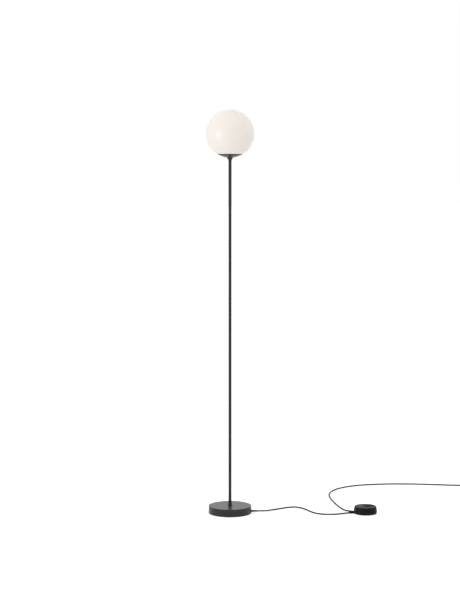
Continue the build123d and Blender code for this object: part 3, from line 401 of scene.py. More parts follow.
def ball_arc(radius, centre_height, start, end, steps):
    """Outline points on a sphere's meridian between two angles above its equator, in degrees."""
    angle = np.radians(np.linspace(start, end, steps + 1))
    return np.stack([radius * np.cos(angle), centre_height + radius * np.sin(angle)], -1)


def plain(points):
    """Outline points as corners without rounding."""
    return [(x, y, 0) for x, y in points]


def rings(outline, centre=(0, 0), columns=96, shift=None):
    """A turned surface: each outline point (radius, height) goes round an upright axis.

    x = centre + shift + radius * cos(angle), y = centre + radius * sin(angle), z = height.
    """
    angle = np.linspace(0, 2 * np.pi, columns, endpoint=False)
    radius, height = outline[:, :1], outline[:, 1:2]
    aside = np.zeros((len(outline), 1)) if shift is None else shift[:, None]
    x = centre[0] + aside + radius * np.cos(angle)
    y = centre[1] + radius * np.sin(angle)
    return np.stack([x, y, np.broadcast_to(height, x.shape)], -1)


def laid(points, place, angle):
    """Lays a piece made about Z flat, so that its Z runs in direction angle in the floor plane."""
    lying = np.stack([points[..., 2], points[..., 1], -points[..., 0]], -1)
    return turned_to(lying, angle) + np.array(place)


def turned_to(points, angle):
    """Turns points about Z: x and y mix by the angle's cosine and sine."""
    c, s = math.cos(angle), math.sin(angle)
    return np.stack(
        [points[..., 0] * c - points[..., 1] * s, points[..., 0] * s + points[..., 1] * c, points[..., 2]],
        -1,
    )


def skin(grid, loop=False, first_pole=None, last_pole=None):
    """Points and faces of a grid (rows, columns, 3) whose columns run round and meet.

    With loop the last row meets the first. A pole closes an end row to one point. The faces are
    turned to point outwards by the sign of the volume that they enclose.
    """
    rows, columns = grid.shape[:2]
    points = grid.reshape(-1, 3)
    row = np.arange(rows if loop else rows - 1)[:, None]
    column = np.arange(columns)[None, :]
    here = row * columns + column
    across = row * columns + (column + 1) % columns
    above = ((row + 1) % rows) * columns + column
    beyond = ((row + 1) % rows) * columns + (column + 1) % columns
    quads = np.stack([here, across, beyond, above], -1).reshape(-1, 4)
    fans = np.zeros((0, 3), int)
    for pole, first in ((first_pole, 0), (last_pole, (rows - 1) * columns)):
        if pole is None:
            continue
        ring = first + np.arange(columns)
        fan = np.stack([ring, np.roll(ring, -1), np.full(columns, len(points))], -1)
        fans = np.vstack([fans, fan[:, ::-1] if first == 0 else fan])
        points = np.vstack([points, np.array(pole)[None]])
    triangles = np.vstack([quads[:, :3], quads[:, [0, 2, 3]], fans])
    a, b, c = (points[triangles[:, n]] - points[0] for n in range(3))
    if np.einsum("ij,ij->", a, np.cross(b, c)) < 0:
        quads, fans = quads[:, ::-1], fans[:, ::-1]
    return points, quads, fans


def made(name, *skins, sharp=40):
    """One smooth-shaded object from several closed skins. Its creases are where faces turn by sharp."""
    counts = np.cumsum([0] + [len(points) for points, _, _ in skins])
    quads = np.vstack([four + start for (_, four, _), start in zip(skins, counts)])
    fans = np.vstack([three + start for (_, _, three), start in zip(skins, counts)])
    points = np.vstack([points for points, _, _ in skins])
    corners = np.concatenate([quads.ravel(), fans.ravel()]).astype(np.int32)
    sizes = np.concatenate([np.full(len(quads), 4), np.full(len(fans), 3)])
    starts = (np.cumsum(sizes) - sizes).astype(np.int32)
    mesh = bpy.data.meshes.new(name)
    mesh.vertices.add(len(points))
    mesh.vertices.foreach_set("co", points.astype(np.float32).ravel())
    mesh.loops.add(len(corners))
    mesh.loops.foreach_set("vertex_index", corners)
    mesh.polygons.add(len(sizes))
    mesh.polygons.foreach_set("loop_start", starts)
    mesh.update(calc_edges=True)
    mesh.validate()
    mesh.shade_smooth()
    mesh.set_sharp_from_angle(angle=math.radians(sharp))
    obj = bpy.data.objects.new(name, mesh)
    bpy.context.scene.collection.objects.link(obj)
    return obj


def turned_skin(corners, centre=(0, 0), columns=96, steps=6, shift=None):
    """The skin of a turned piece with a hole through it, from a closed outline of corners."""
    ringed = [corners[-1], *corners, corners[0]]
    outline = rounded(ringed, steps)[1:-1]
    return skin(rings(outline, centre, columns, None if shift is None else shift(outline[:, 0])), loop=True)


def solid_skin(corners, centre=(0, 0), columns=96, steps=6):
    """The skin of a turned piece without a hole. Its outline starts and ends on the axis."""
    outline = rounded(corners, steps)
    grid = rings(outline[1:-1], centre, columns)
    first = (*centre, outline[0, 1])
    last = (*centre, outline[-1, 1])
    return skin(grid, first_pole=first, last_pole=last)


def laid_skin(skin_parts, place, angle):
    """A skin made about Z, laid flat at a place so that its Z runs in direction angle."""
    points, quads, fans = skin_parts
    return laid(points, place, angle), quads, fans


def relief_corners(start, root_radius, tip_radius):
    """A strain relief's outside: a taper with ring grooves, from start to its tip."""
    step = RELIEF_LENGTH / (RELIEF_GROOVES + 1)
    corners = []
    for n in range(1, RELIEF_GROOVES + 1):
        for side, depth in ((-1, 0), (-1, 1), (1, 1), (1, 0)):
            along = n * step + side * RELIEF_GROOVE_WIDTH / 2
            radius = root_radius + (tip_radius - root_radius) * along / RELIEF_LENGTH
            corners.append((radius - depth * RELIEF_GROOVE_DEPTH, start + along, 0.22 * MM))
    return corners + [(tip_radius, start + RELIEF_LENGTH, 0.5 * MM), (0, start + RELIEF_LENGTH, 0)]


# ---------------------------------------------------------------- finishes
def new_finish(name, colour, roughness, **constants):
    """A material with its constants set on the shader itself, and the tree and shader to add to."""
    material = bpy.data.materials.new(name)
    material.use_nodes = True
    tree = material.node_tree
    tree.nodes.clear()
    output = tree.nodes.new("ShaderNodeOutputMaterial")
    shader = tree.nodes.new("ShaderNodeBsdfPrincipled")
    shader.inputs["Base Color"].default_value = (*colour, 1)
    shader.inputs["Roughness"].default_value = roughness
    for socket, value in constants.items():
        shader.inputs[socket.replace("_", " ")].default_value = value
    tree.links.new(shader.outputs["BSDF"], output.inputs["Surface"])
    return material, tree, shader


def grain(tree, scale, detail=3.0, stretch=(1, 1, 1)):
    """Noise on object coordinates, in cells per metre, drawn out along the axes by stretch."""
    place = tree.nodes.new("ShaderNodeTexCoord")
    mapping = tree.nodes.new("ShaderNodeMapping")
    mapping.inputs["Scale"].default_value = stretch
    texture = tree.nodes.new("ShaderNodeTexNoise")
    texture.inputs["Scale"].default_value = scale
    texture.inputs["Detail"].default_value = detail
    tree.links.new(place.outputs["Object"], mapping.inputs["Vector"])
    tree.links.new(mapping.outputs["Vector"], texture.inputs["Vector"])
    return texture.outputs["Fac"]


def sheen_varied(tree, shader, value, least, most):
    """Lets the shader's roughness wander between its least and its most with a texture."""
    remap = tree.nodes.new("ShaderNodeMapRange")
    remap.inputs["From Min"].default_value = 0.3
    remap.inputs["From Max"].default_value = 0.7
    remap.inputs["To Min"].default_value = least
    remap.inputs["To Max"].default_value = most
    tree.links.new(value, remap.inputs["Value"])
    tree.links.new(remap.outputs["Result"], shader.inputs["Roughness"])


def tinted(tree, shader, value, dark, light):
    """Colours the shader between two colours with a texture."""
    ramp = tree.nodes.new("ShaderNodeValToRGB")
    ramp.color_ramp.elements[0].position = 0.3
    ramp.color_ramp.elements[1].position = 0.7
    ramp.color_ramp.elements[0].color = (*dark, 1)
    ramp.color_ramp.elements[1].color = (*light, 1)
    tree.links.new(value, ramp.inputs["Fac"])
    tree.links.new(ramp.outputs["Color"], shader.inputs["Base Color"])


def raised(tree, shader, value, height, under=None):
    """Bumps the shader with a texture, height in metres, on top of an earlier bump."""
    bump = tree.nodes.new("ShaderNodeBump")
    bump.inputs["Strength"].default_value = 1.0
    bump.inputs["Distance"].default_value = height
    tree.links.new(value, bump.inputs["Height"])
    if under is not None:
        tree.links.new(under.outputs["Normal"], bump.inputs["Normal"])
    tree.links.new(bump.outputs["Normal"], shader.inputs["Normal"])
    return bump


def shade(colour, factor):
    """A colour made lighter or darker."""
    return tuple(min(part * factor, 1) for part in colour)


def opal_glass(colour, roughness):
    """Blown opal glass: milky in its depth, softly glossy, with the slight waves of blowing."""
    material, tree, shader = new_finish(
        "opal glass",
        colour,
        roughness,
        Subsurface_Weight=0.3,
        Subsurface_Scale=0.015,
        Subsurface_Radius=(1.0, 0.8, 0.6),
        IOR=1.5,
        Coat_Weight=0.2,
        Coat_Roughness=0.1,
    )
    tinted(tree, shader, grain(tree, 14, 2), shade(colour, 0.985), shade(colour, 1.01))
    sheen_varied(tree, shader, grain(tree, 7, 1), roughness - 0.008, roughness + 0.008)
    raised(tree, shader, grain(tree, 16, 1), 0.15 * MM)
    return material


def satin_paint(colour, roughness):
    """Satin powder paint on metal: two sizes of fine pebbling and a sheen that is not quite even."""
    material, tree, shader = new_finish(
        "satin paint",
        colour,
        roughness,
        Specular_IOR_Level=0.3,
        Sheen_Weight=0.05,
        Sheen_Roughness=0.4,
    )
    tinted(tree, shader, grain(tree, 60, 4), shade(colour, 0.92), shade(colour, 1.08))
    sheen_varied(tree, shader, grain(tree, 260), roughness - 0.04, roughness + 0.05)
    pebbles = raised(tree, shader, grain(tree, 900, 2), 0.012 * MM)
    raised(tree, shader, grain(tree, 2600, 2), 0.006 * MM, pebbles)
    return material


def moulded(name, colour, roughness, texture=1500, height=0.012 * MM, level=0.1):
    """Moulded plastic with the fine sparked texture of its mould."""
    material, tree, shader = new_finish(name, colour, roughness, Specular_IOR_Level=level)
    tinted(tree, shader, grain(tree, 90), shade(colour, 0.93), shade(colour, 1.07))
    sheen_varied(tree, shader, grain(tree, 420), roughness - 0.05, roughness + 0.05)
    raised(tree, shader, grain(tree, texture, 2), height)
    return material


def frosted(colour):
    """Frosted plastic that light shines through a little, with a fine blasted skin."""
    material, tree, shader = new_finish(
        "frosted plastic",
        colour,
        0.55,
        Subsurface_Weight=0.25,
        Subsurface_Scale=0.003,
        Subsurface_Radius=(1.0, 0.95, 0.9),
    )
    tinted(tree, shader, grain(tree, 60), shade(colour, 0.97), colour)
    sheen_varied(tree, shader, grain(tree, 500), 0.5, 0.6)
    raised(tree, shader, grain(tree, 2200, 2), 0.01 * MM)
    return material


def cord_sheath(colour):
    """Extruded cord sheath: smooth and slightly dull, with a faint unevenness."""
    material, tree, shader = new_finish("cord sheath", colour, 0.42, Specular_IOR_Level=0.15)
    tinted(tree, shader, grain(tree, 120), shade(colour, 0.88), shade(colour, 1.12))
    sheen_varied(tree, shader, grain(tree, 260), 0.37, 0.5)
    raised(tree, shader, grain(tree, 900, 2), 0.012 * MM)
    return material


def metal(name, colour, roughness, stretch=(1, 1, 1), marks=800, height=0.008 * MM):
    """Bare or plated metal with the fine marks of its making, drawn out along them."""
    material, tree, shader = new_finish(name, colour, roughness, Metallic=1.0)
    tinted(tree, shader, grain(tree, marks / 4, 4, stretch), shade(colour, 0.9), shade(colour, 1.05))
    sheen_varied(tree, shader, grain(tree, marks, 3, stretch), roughness - 0.06, roughness + 0.08)
    raised(tree, shader, grain(tree, marks, 3, stretch), height)
    return material


def cast_iron():
    """Sand-cast iron: a coarse, pitted, dull skin."""
    colour = (0.06, 0.057, 0.055)
    material, tree, shader = new_finish("cast iron", colour, 0.7, Metallic=0.5)
    skin_grain = grain(tree, 450, 5)
    tinted(tree, shader, skin_grain, shade(colour, 0.55), shade(colour, 1.6))
    sheen_varied(tree, shader, skin_grain, 0.6, 0.85)
    raised(tree, shader, skin_grain, 0.15 * MM)
    return material


def pressed_felt():
    """Pressed felt: short tangled fibres that look fuzzy at a glancing angle."""
    colour = (0.02, 0.02, 0.021)
    material, tree, shader = new_finish(
        "pressed felt", colour, 0.95, Sheen_Weight=0.4, Sheen_Roughness=0.6, Specular_IOR_Level=0.1
    )
    fibres = grain(tree, 1300, 6, (1, 0.4, 1))
    tinted(tree, shader, fibres, shade(colour, 0.5), shade(colour, 2.0))
    sheen_varied(tree, shader, fibres, 0.9, 1.0)
    raised(tree, shader, fibres, 0.25 * MM)
    return material


def board_lacquer():
    """Green lacquer over copper tracks, which show as paler, raised lines."""
    colour = (0.01, 0.09, 0.035)
    material, tree, shader = new_finish("board lacquer", colour, 0.3)
    place = tree.nodes.new("ShaderNodeTexCoord")
    tracks = tree.nodes.new("ShaderNodeTexBrick")
    tracks.inputs["Scale"].default_value = 120
    tracks.inputs["Color1"].default_value = (*colour, 1)
    tracks.inputs["Color2"].default_value = (*shade(colour, 1.3), 1)
    tracks.inputs["Mortar"].default_value = (*shade(colour, 2.2), 1)
    tracks.inputs["Mortar Size"].default_value = 0.05
    tree.links.new(place.outputs["Object"], tracks.inputs["Vector"])
    tree.links.new(tracks.outputs["Color"], shader.inputs["Base Color"])
    sheen_varied(tree, shader, grain(tree, 300), 0.25, 0.38)
    raised(tree, shader, tracks.outputs["Fac"], 0.03 * MM)
    return material


def wound_copper():
    """Lacquered copper wire wound closely, which shows as fine ridges."""
    colour = (0.62, 0.26, 0.13)
    material, tree, shader = new_finish("wound copper", colour, 0.3, Metallic=1.0)
    ridges = grain(tree, 700, 1, (1, 1, 0.2))
    tinted(tree, shader, ridges, shade(colour, 0.55), shade(colour, 1.1))
    sheen_varied(tree, shader, ridges, 0.25, 0.4)
    raised(tree, shader, ridges, 0.12 * MM)
    return material


def make_finishes(scene):
    """Every finish, under the name of the record's slot that it stands for."""
    stand, glass, dimmer, cord = scene.lamp_stand, scene.lamp_globe, scene.lamp_dimmer, scene.lamp_cord
    return {
        "graphite_paint": satin_paint(tuple(stand.paint), stand.roughness),
        "opal_glass": opal_glass(tuple(glass.colour), glass.roughness),
        "raw_iron": cast_iron(),
        "zinc_steel": metal("zinc-plated steel", (0.55, 0.56, 0.58), 0.35, (1, 1, 0.15)),
        "brass_metal": metal("brass", (0.72, 0.5, 0.2), 0.3, (0.15, 1, 1)),
        "nickel_plate": metal("nickel plate", (0.66, 0.63, 0.58), 0.18, marks=500, height=0.004 * MM),
        "copper_winding": wound_copper(),
        "black_plastic": moulded("black plastic", tuple(dimmer.plastic), dimmer.roughness),
        "white_plastic": moulded("white plastic", (0.8, 0.8, 0.78), 0.35, 1200, 0.006 * MM, 0.5),
        "frosted_plastic": frosted((0.88, 0.88, 0.86)),
        "cord_sheath": cord_sheath(tuple(cord.sheath)),
        "black_rubber": moulded("black rubber", (0.012, 0.012, 0.012), 0.75, 700, 0.03 * MM, 0.12),
        "felt_pad": pressed_felt(),
        "core_insulation": moulded("core insulation", (0.25, 0.1, 0.04), 0.35, 900, 0.008 * MM),
        "circuit_board": board_lacquer(),
        "dark_glass": moulded("dark glass", (0.01, 0.01, 0.012), 0.12, 400, 0.003 * MM, 0.5),
    }


finishes = {}


def dress(obj, slot, body, *replaced):
    """Gives a new piece its finish and its body, and hides the CAD nodes that it stands for."""
    obj.data.materials.append(finishes[slot])
    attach(obj, body)
    if replaced:
        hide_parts(*replaced)
    return obj


class LampStep:
    """What all the lamp's steps share: they can be undone, and they need the frame's nodes."""

    bl_options = {"REGISTER", "UNDO"}

    @classmethod
    def poll(cls, context):
        return bool(nodes)


class LAMP_OT_finishes(LampStep, bpy.types.Operator):
    """Make every finish and give the carried-over CAD nodes theirs"""

    bl_idname = "lamp.finishes"
    bl_label = "Finishes"

    def execute(self, context):
        finishes.update(make_finishes(context.scene))
        slots = {node: slot for slot, names in NODES_BY_SLOT.items() for node in names.split()}
        if set(slots) != set(nodes):
            raise RuntimeError(f"nodes without a finish: {set(nodes) ^ set(slots)}")
        for node, slot in slots.items():
            for material_slot in nodes[node].material_slots:
                material_slot.material = finishes[slot]
        return {"FINISHED"}


NODES_BY_SLOT = {
    "graphite_paint": "base_cover rod_lower rod_upper foot_collar neck_collar holder_dish",
    "opal_glass": "globe",
    "raw_iron": "base_weight",
    "zinc_steel": "base_plate base_screws base_nipple base_nut base_washer cord_clamp_screws "
    "rod_coupler globe_carrier globe_springs head_nipple head_washer head_nut dimmer_screws dimmer_spindle",
    "felt_pad": "base_pad",
    "black_rubber": "cord_gland globe_gasket dimmer_feet dimmer_relief_in dimmer_relief_out plug_relief",
    "black_plastic": "cord_clamp lampholder_cap lampholder_body dimmer_cover dimmer_base "
    "dimmer_cord_grip dimmer_pot dimmer_dial coil_tie plug_body",
    "white_plastic": "lampholder_insert bulb_housing bulb_led_board dimmer_terminals dimmer_plunger",
    "frosted_plastic": "bulb_diffuser",
    "cord_sheath": "inner_cable cord_coil cord_to_dimmer cord_to_plug cord_tail",
    "brass_metal": "lampholder_shell lampholder_contact bulb_tip",
    "nickel_plate": "bulb_cap plug_pins",
    "core_insulation": "lampholder_wires dimmer_wires",
    "dark_glass": "bulb_insulator",
    "circuit_board": "dimmer_board",
    "copper_winding": "dimmer_choke",
}


# ---------------------------------------------------------------- base and rod
class LAMP_OT_base(LampStep, bpy.types.Operator):
    """Turn the base's cover, with its rounded top edge, and the felt pad it stands on"""

    bl_idname = "lamp.base"
    bl_label = "Base"

    def execute(self, context):
        stand = context.scene.lamp_stand
        foot, top = low("base_cover"), high("base_cover")
        wall = 2 * MM
        inner = stand.base_radius - wall
        cover = turned_skin(
            [
                (stand.base_radius, foot, 0.6 * MM),
                (stand.base_radius, top, stand.base_edge),
                (TUBE_HOLE, top, 0.2 * MM),
                (TUBE_HOLE, top - wall, 0),
                (inner, top - wall, 0.8 * MM),
                (inner, foot, 0.3 * MM),
            ],
            columns=192,
        )
        dress(made("base_cover_spun", cover), "graphite_paint", "lamp", "base_cover")
        pad_radius = half_width("base_pad")
        pad = solid_skin(
            [
                (0, low("base_pad"), 0),
                (pad_radius, low("base_pad"), 0.35 * MM),
                (pad_radius, high("base_pad"), 0.25 * MM),
                (0, high("base_pad"), 0),
            ],
            columns=144,
            steps=3,
        )
        dress(made("base_pad_felt", pad), "felt_pad", "lamp", "base_pad")
        return {"FINISHED"}


class LAMP_OT_rod(LampStep, bpy.types.Operator):
    """Draw the rod's two lengths, with the fine line of their joint"""

    bl_idname = "lamp.rod"
    bl_label = "Rod"

    def execute(self, context):
        radius = context.scene.lamp_stand.rod_radius
        for node in ("rod_lower", "rod_upper"):
            tube = turned_skin(
                [
                    (ROD_BORE, low(node), 0),
                    (radius, low(node), 0.3 * MM),
                    (radius, high(node), 0.3 * MM),
                    (ROD_BORE, high(node), 0),
                ],
                columns=48,
                steps=3,
            )
            dress(made(node + "_tube", tube), "graphite_paint", "lamp", node)
        return {"FINISHED"}


class LAMP_OT_collars(LampStep, bpy.types.Operator):
    """Turn the foot collar on the base and the neck collar under the dish"""

    bl_idname = "lamp.collars"
    bl_label = "Collars"

    def execute(self, context):
        foot, top, radius = low("foot_collar"), high("foot_collar"), half_width("foot_collar")
        flange, sleeve = foot + 3 * MM, COLLAR_BORE + 0.75 * MM
        hollow = radius - sleeve
        sweep = bow((radius, flange), (sleeve, flange + hollow), hollow)
        collar = turned_skin(
            [
                (COLLAR_BORE, foot, 0),
                (radius, foot, 0.2 * MM),
                (radius, flange, 0.5 * MM),
                *plain(sweep[1:]),
                (sleeve, top, 0.25 * MM),
                (COLLAR_BORE, top, 0.1 * MM),
            ],
            columns=72,
        )
        dress(made("foot_collar_turned", collar), "graphite_paint", "lamp", "foot_collar")
        seat, radius = seat_sphere(), half_width("neck_collar")
        foot, sleeve = low("neck_collar"), COLLAR_BORE + 0.6 * MM
        rim_top = ball_height(seat, radius)
        rim = rim_top - 1.2 * MM
        sweep_foot, sweep_radius = rim - 9.6 * MM, 22 * MM
        sweep = bow((sleeve, sweep_foot), (radius, rim), sweep_radius)
        bowl = [(r, ball_height(seat, r)) for r in np.linspace(radius, TUBE_HOLE, 6)]
        collar = turned_skin(
            [
                (COLLAR_BORE, foot, 0.1 * MM),
                (sleeve, foot, 0.25 * MM),
                *plain(sweep[:-1]),
                (radius, rim, 0.3 * MM),
                (radius, rim_top, 0.3 * MM),
                *plain(bowl[1:]),
                (TUBE_HOLE, high("rod_upper"), 0),
                (COLLAR_BORE, high("rod_upper"), 0),
            ],
            columns=96,
        )
        dress(made("neck_collar_turned", collar), "graphite_paint", "lamp", "neck_collar")
        return {"FINISHED"}


def seat_sphere():
    """Radius of the sphere that the neck collar's top follows, just outside the dish."""
    return GLOBE_MIDDLE - low("holder_dish") + 0.05 * MM


def ball_height(sphere_radius, radius):
    """Height of the lower half of a sphere round the globe's middle: its middle less the other side
    of the right triangle on both radii."""
    return GLOBE_MIDDLE - math.sqrt(sphere_radius**2 - radius**2)


# ---------------------------------------------------------------- globe and what carries it
class LAMP_OT_globe(LampStep, bpy.types.Operator):
    """Blow the opal glass globe, with its lip turned in round the mouth"""

    bl_idname = "lamp.globe"
    bl_label = "Globe"

    def execute(self, context):
        glass = context.scene.lamp_globe
        inner = glass.radius - glass.wall
        foot = low("globe")
        lip_top = foot + glass.wall
        outer_angle = math.degrees(math.asin((foot - GLOBE_MIDDLE) / glass.radius))
        inner_angle = math.degrees(math.asin((lip_top - GLOBE_MIDDLE) / inner))
        inside = ball_arc(inner, GLOBE_MIDDLE, 90, inner_angle, 44)
        outside = ball_arc(glass.radius, GLOBE_MIDDLE, outer_angle, 90, 64)
        skin_of_glass = solid_skin(
            [
                *plain(inside[:-1]),
                (*inside[-1], 3.0 * MM),
                (glass.mouth_radius, lip_top, 1.3 * MM),
                (glass.mouth_radius, foot, 1.3 * MM),
                (*outside[0], 2.2 * MM),
                *plain(outside[1:]),
            ],
            columns=160,
        )
        dress(made("globe_glass", skin_of_glass), "opal_glass", "globe", "globe")
        return {"FINISHED"}


class LAMP_OT_holder(LampStep, bpy.types.Operator):
    """Press the dish, the carrier cup in it, and turn the gasket between dish and globe"""

    bl_idname = "lamp.holder"
    bl_label = "Dish and carrier"

    def execute(self, context):
        radius = context.scene.lamp_globe.dish_radius
        outer = GLOBE_MIDDLE - low("holder_dish")
        inner = outer - 1.8 * MM
        rim = high("holder_dish")
        rim_inner = math.sqrt(inner**2 - (GLOBE_MIDDLE - rim) ** 2)
        under = [(r, ball_height(outer, r)) for r in np.linspace(TUBE_HOLE, radius, 25)]
        over = [(r, ball_height(inner, r)) for r in np.linspace(rim_inner, TUBE_HOLE, 25)]
        dish = turned_skin(
            [*plain(under[:-1]), (radius, rim, 0.35 * MM), (rim_inner, rim, 0.35 * MM), *plain(over[1:])],
            columns=144,
        )
        dress(made("holder_dish_pressed", dish), "graphite_paint", "lamp", "holder_dish")
        outer, ring = inner - 0.1 * MM, half_width("globe_carrier")
        inner, ring_wall, top = outer - 1.2 * MM, 1.0 * MM, high("globe_carrier")
        bore = ring - ring_wall
        under = [(r, ball_height(outer, r)) for r in np.linspace(TUBE_HOLE, ring, 17)]
        over = [(r, ball_height(inner, r)) for r in np.linspace(bore, TUBE_HOLE, 17)]
        cup = turned_skin(
            [
                *plain(under[:-1]),
                (*under[-1], 0.8 * MM),
                (ring, top, 0.35 * MM),
                (bore, top, 0.35 * MM),
                (*over[0], 0.5 * MM),
                *plain(over[1:]),
            ],
            columns=120,
        )
        dress(made("globe_carrier_pressed", cup), "zinc_steel", "lamp", "globe_carrier")
        gasket_outer = half_width("globe_gasket")
        gasket_inner = gasket_outer - 6 * MM
        gasket = turned_skin(
            [
                (gasket_inner, low("globe_gasket"), 0.2 * MM),
                (gasket_outer, low("globe_gasket"), 0.3 * MM),
                (gasket_outer, high("globe_gasket"), 0.3 * MM),
                (gasket_inner, high("globe_gasket"), 0.2 * MM),
            ],
            columns=120,
            steps=3,
        )
        dress(made("globe_gasket_ring", gasket), "black_rubber", "lamp", "globe_gasket")
        return {"FINISHED"}


class LAMP_OT_lampholder(LampStep, bpy.types.Operator):
    """Mould the lampholder's cap and body and draw its screw shell"""

    bl_idname = "lamp.lampholder"
    bl_label = "Lampholder"

    def execute(self, context):
        radius, wall, floor = half_width("lampholder_cap"), 2 * MM, 3 * MM
        foot, joint, top = low("lampholder_cap"), high("lampholder_cap"), high("lampholder_body")
        cap = turned_skin(
            [
                (TUBE_THREAD, foot, 0.3 * MM),
                (radius, foot, 2 * MM),
                (radius, joint, 0.35 * MM),
                (radius - wall, joint, 0.1 * MM),
                (radius - wall, foot + floor, 0.5 * MM),
                (TUBE_THREAD, foot + floor, 0.2 * MM),
            ],
            columns=96,
        )
        dress(made("lampholder_cap_moulded", cap), "black_plastic", "lamp", "lampholder_cap")
        mouth = 14.6 * MM
        body = turned_skin(
            [
                (radius - wall, joint, 0.1 * MM),
                (radius, joint, 0.35 * MM),
                (radius, top, 1.2 * MM),
                (mouth, top, 0.8 * MM),
                (mouth, top - wall, 0.3 * MM),
                (radius - wall, top - wall, 0),
            ],
            columns=96,
        )
        dress(made("lampholder_body_moulded", body), "black_plastic", "lamp", "lampholder_body")
        shell_inner, gauge = 13.5 * MM, 0.6 * MM
        flange = half_width("lampholder_shell")
        shell_foot, shell_top = low("lampholder_shell"), high("lampholder_shell")
        shell = turned_skin(
            [
                (shell_inner, shell_foot, 0.1 * MM),
                (shell_inner + gauge, shell_foot, 0.1 * MM),
                (shell_inner + gauge, shell_top - gauge, 0.2 * MM),
                (flange, shell_top - gauge, 0.1 * MM),
                (flange, shell_top, 0.1 * MM),
                (shell_inner, shell_top, 0.4 * MM),
            ],
            columns=96,
            steps=3,
        )
        dress(made("lampholder_shell_drawn", shell), "brass_metal", "lamp", "lampholder_shell")
        return {"FINISHED"}


class LAMP_OT_bulb(LampStep, bpy.types.Operator):
    """Form the bulb: threaded cap, heat-spreading housing and frosted dome"""

    bl_idname = "lamp.bulb"
    bl_label = "Bulb"

    def execute(self, context):
        self.cap()
        foot, top = low("bulb_housing"), high("bulb_housing")
        radius, neck = half_width("bulb_housing"), half_width("bulb_cap")
        lower = np.array([neck, foot + 0.1 * MM])
        waist = np.array([(neck + radius) / 2 - 0.1 * MM, foot + 0.4 * (top - foot)])
        side = arc_through(lower, waist, np.array([radius, top]), 20)
        housing = solid_skin(
            [(0, foot, 0), *plain(side[:-1]), (radius, top, 0.2 * MM), (0, top, 0)], columns=96, steps=4
        )
        dress(made("bulb_housing_moulded", housing), "white_plastic", "bulb", "bulb_housing")
        foot, top = low("bulb_diffuser"), high("bulb_diffuser")
        gauge = 1.5 * MM
        shoulder = top - radius
        outside = ball_arc(radius, shoulder, 0, 90, 28)
        inside = ball_arc(radius - gauge, shoulder, 90, 0, 24)
        dome = solid_skin(
            [
                *plain(inside),
                (radius - gauge, foot, 0.1 * MM),
                (radius, foot, 0.3 * MM),
                *plain(outside),
            ],
            columns=96,
            steps=4,
        )
        dress(made("bulb_dome_frosted", dome), "frosted_plastic", "bulb", "bulb_diffuser")
        return {"FINISHED"}

    def cap(self):
        """The screw cap: a drum whose radius swells by half a cosine of height over pitch less the
        share of the turn, which winds the thread. The swell fades in and out at both ends."""
        foot, top, crest = low("bulb_cap"), high("bulb_cap"), half_width("bulb_cap")
        depth, pitch, cone, fading = 0.9 * MM, 3.6 * MM, 3 * MM, 1.2 * MM
        root = crest - depth
        angle = np.linspace(0, 2 * np.pi, 96, endpoint=False)[None, :]
        height = np.linspace(foot + cone / 2, top, 90)[:, None]
        start, end = foot + 2 * MM, foot + cone / 2 + 4 * pitch
        fade = np.clip((height - start) / fading, 0, 1) * np.clip((end - height) / fading, 0, 1)
        swell = 0.5 - 0.5 * np.cos(2 * np.pi * (height / pitch - angle / (2 * np.pi)))
        radius = root + depth * fade * swell
        x, y = radius * np.cos(angle), radius * np.sin(angle)
        drum = np.stack([x, y, np.broadcast_to(height, x.shape)], -1)
        rim = rings(np.array([[root - cone, foot]]), columns=96)
        grid = np.concatenate([rim, drum])
        cap = skin(grid, first_pole=(0, 0, foot), last_pole=(0, 0, top))
        dress(made("bulb_cap_threaded", cap, sharp=60), "nickel_plate", "bulb", "bulb_cap")


def arc_through(first, middle_point, last, steps):
    """The arc through three outline points. Its middle is where the points' mid-lines cross: both
    equations say that it is as far from one point as from the next."""
    rows = 2 * np.array([middle_point - first, last - middle_point])
    sums = np.array(
        [middle_point @ middle_point - first @ first, last @ last - middle_point @ middle_point]
    )
    centre = np.linalg.solve(rows, sums)
    return centre + slerp(first - centre, last - centre, steps)


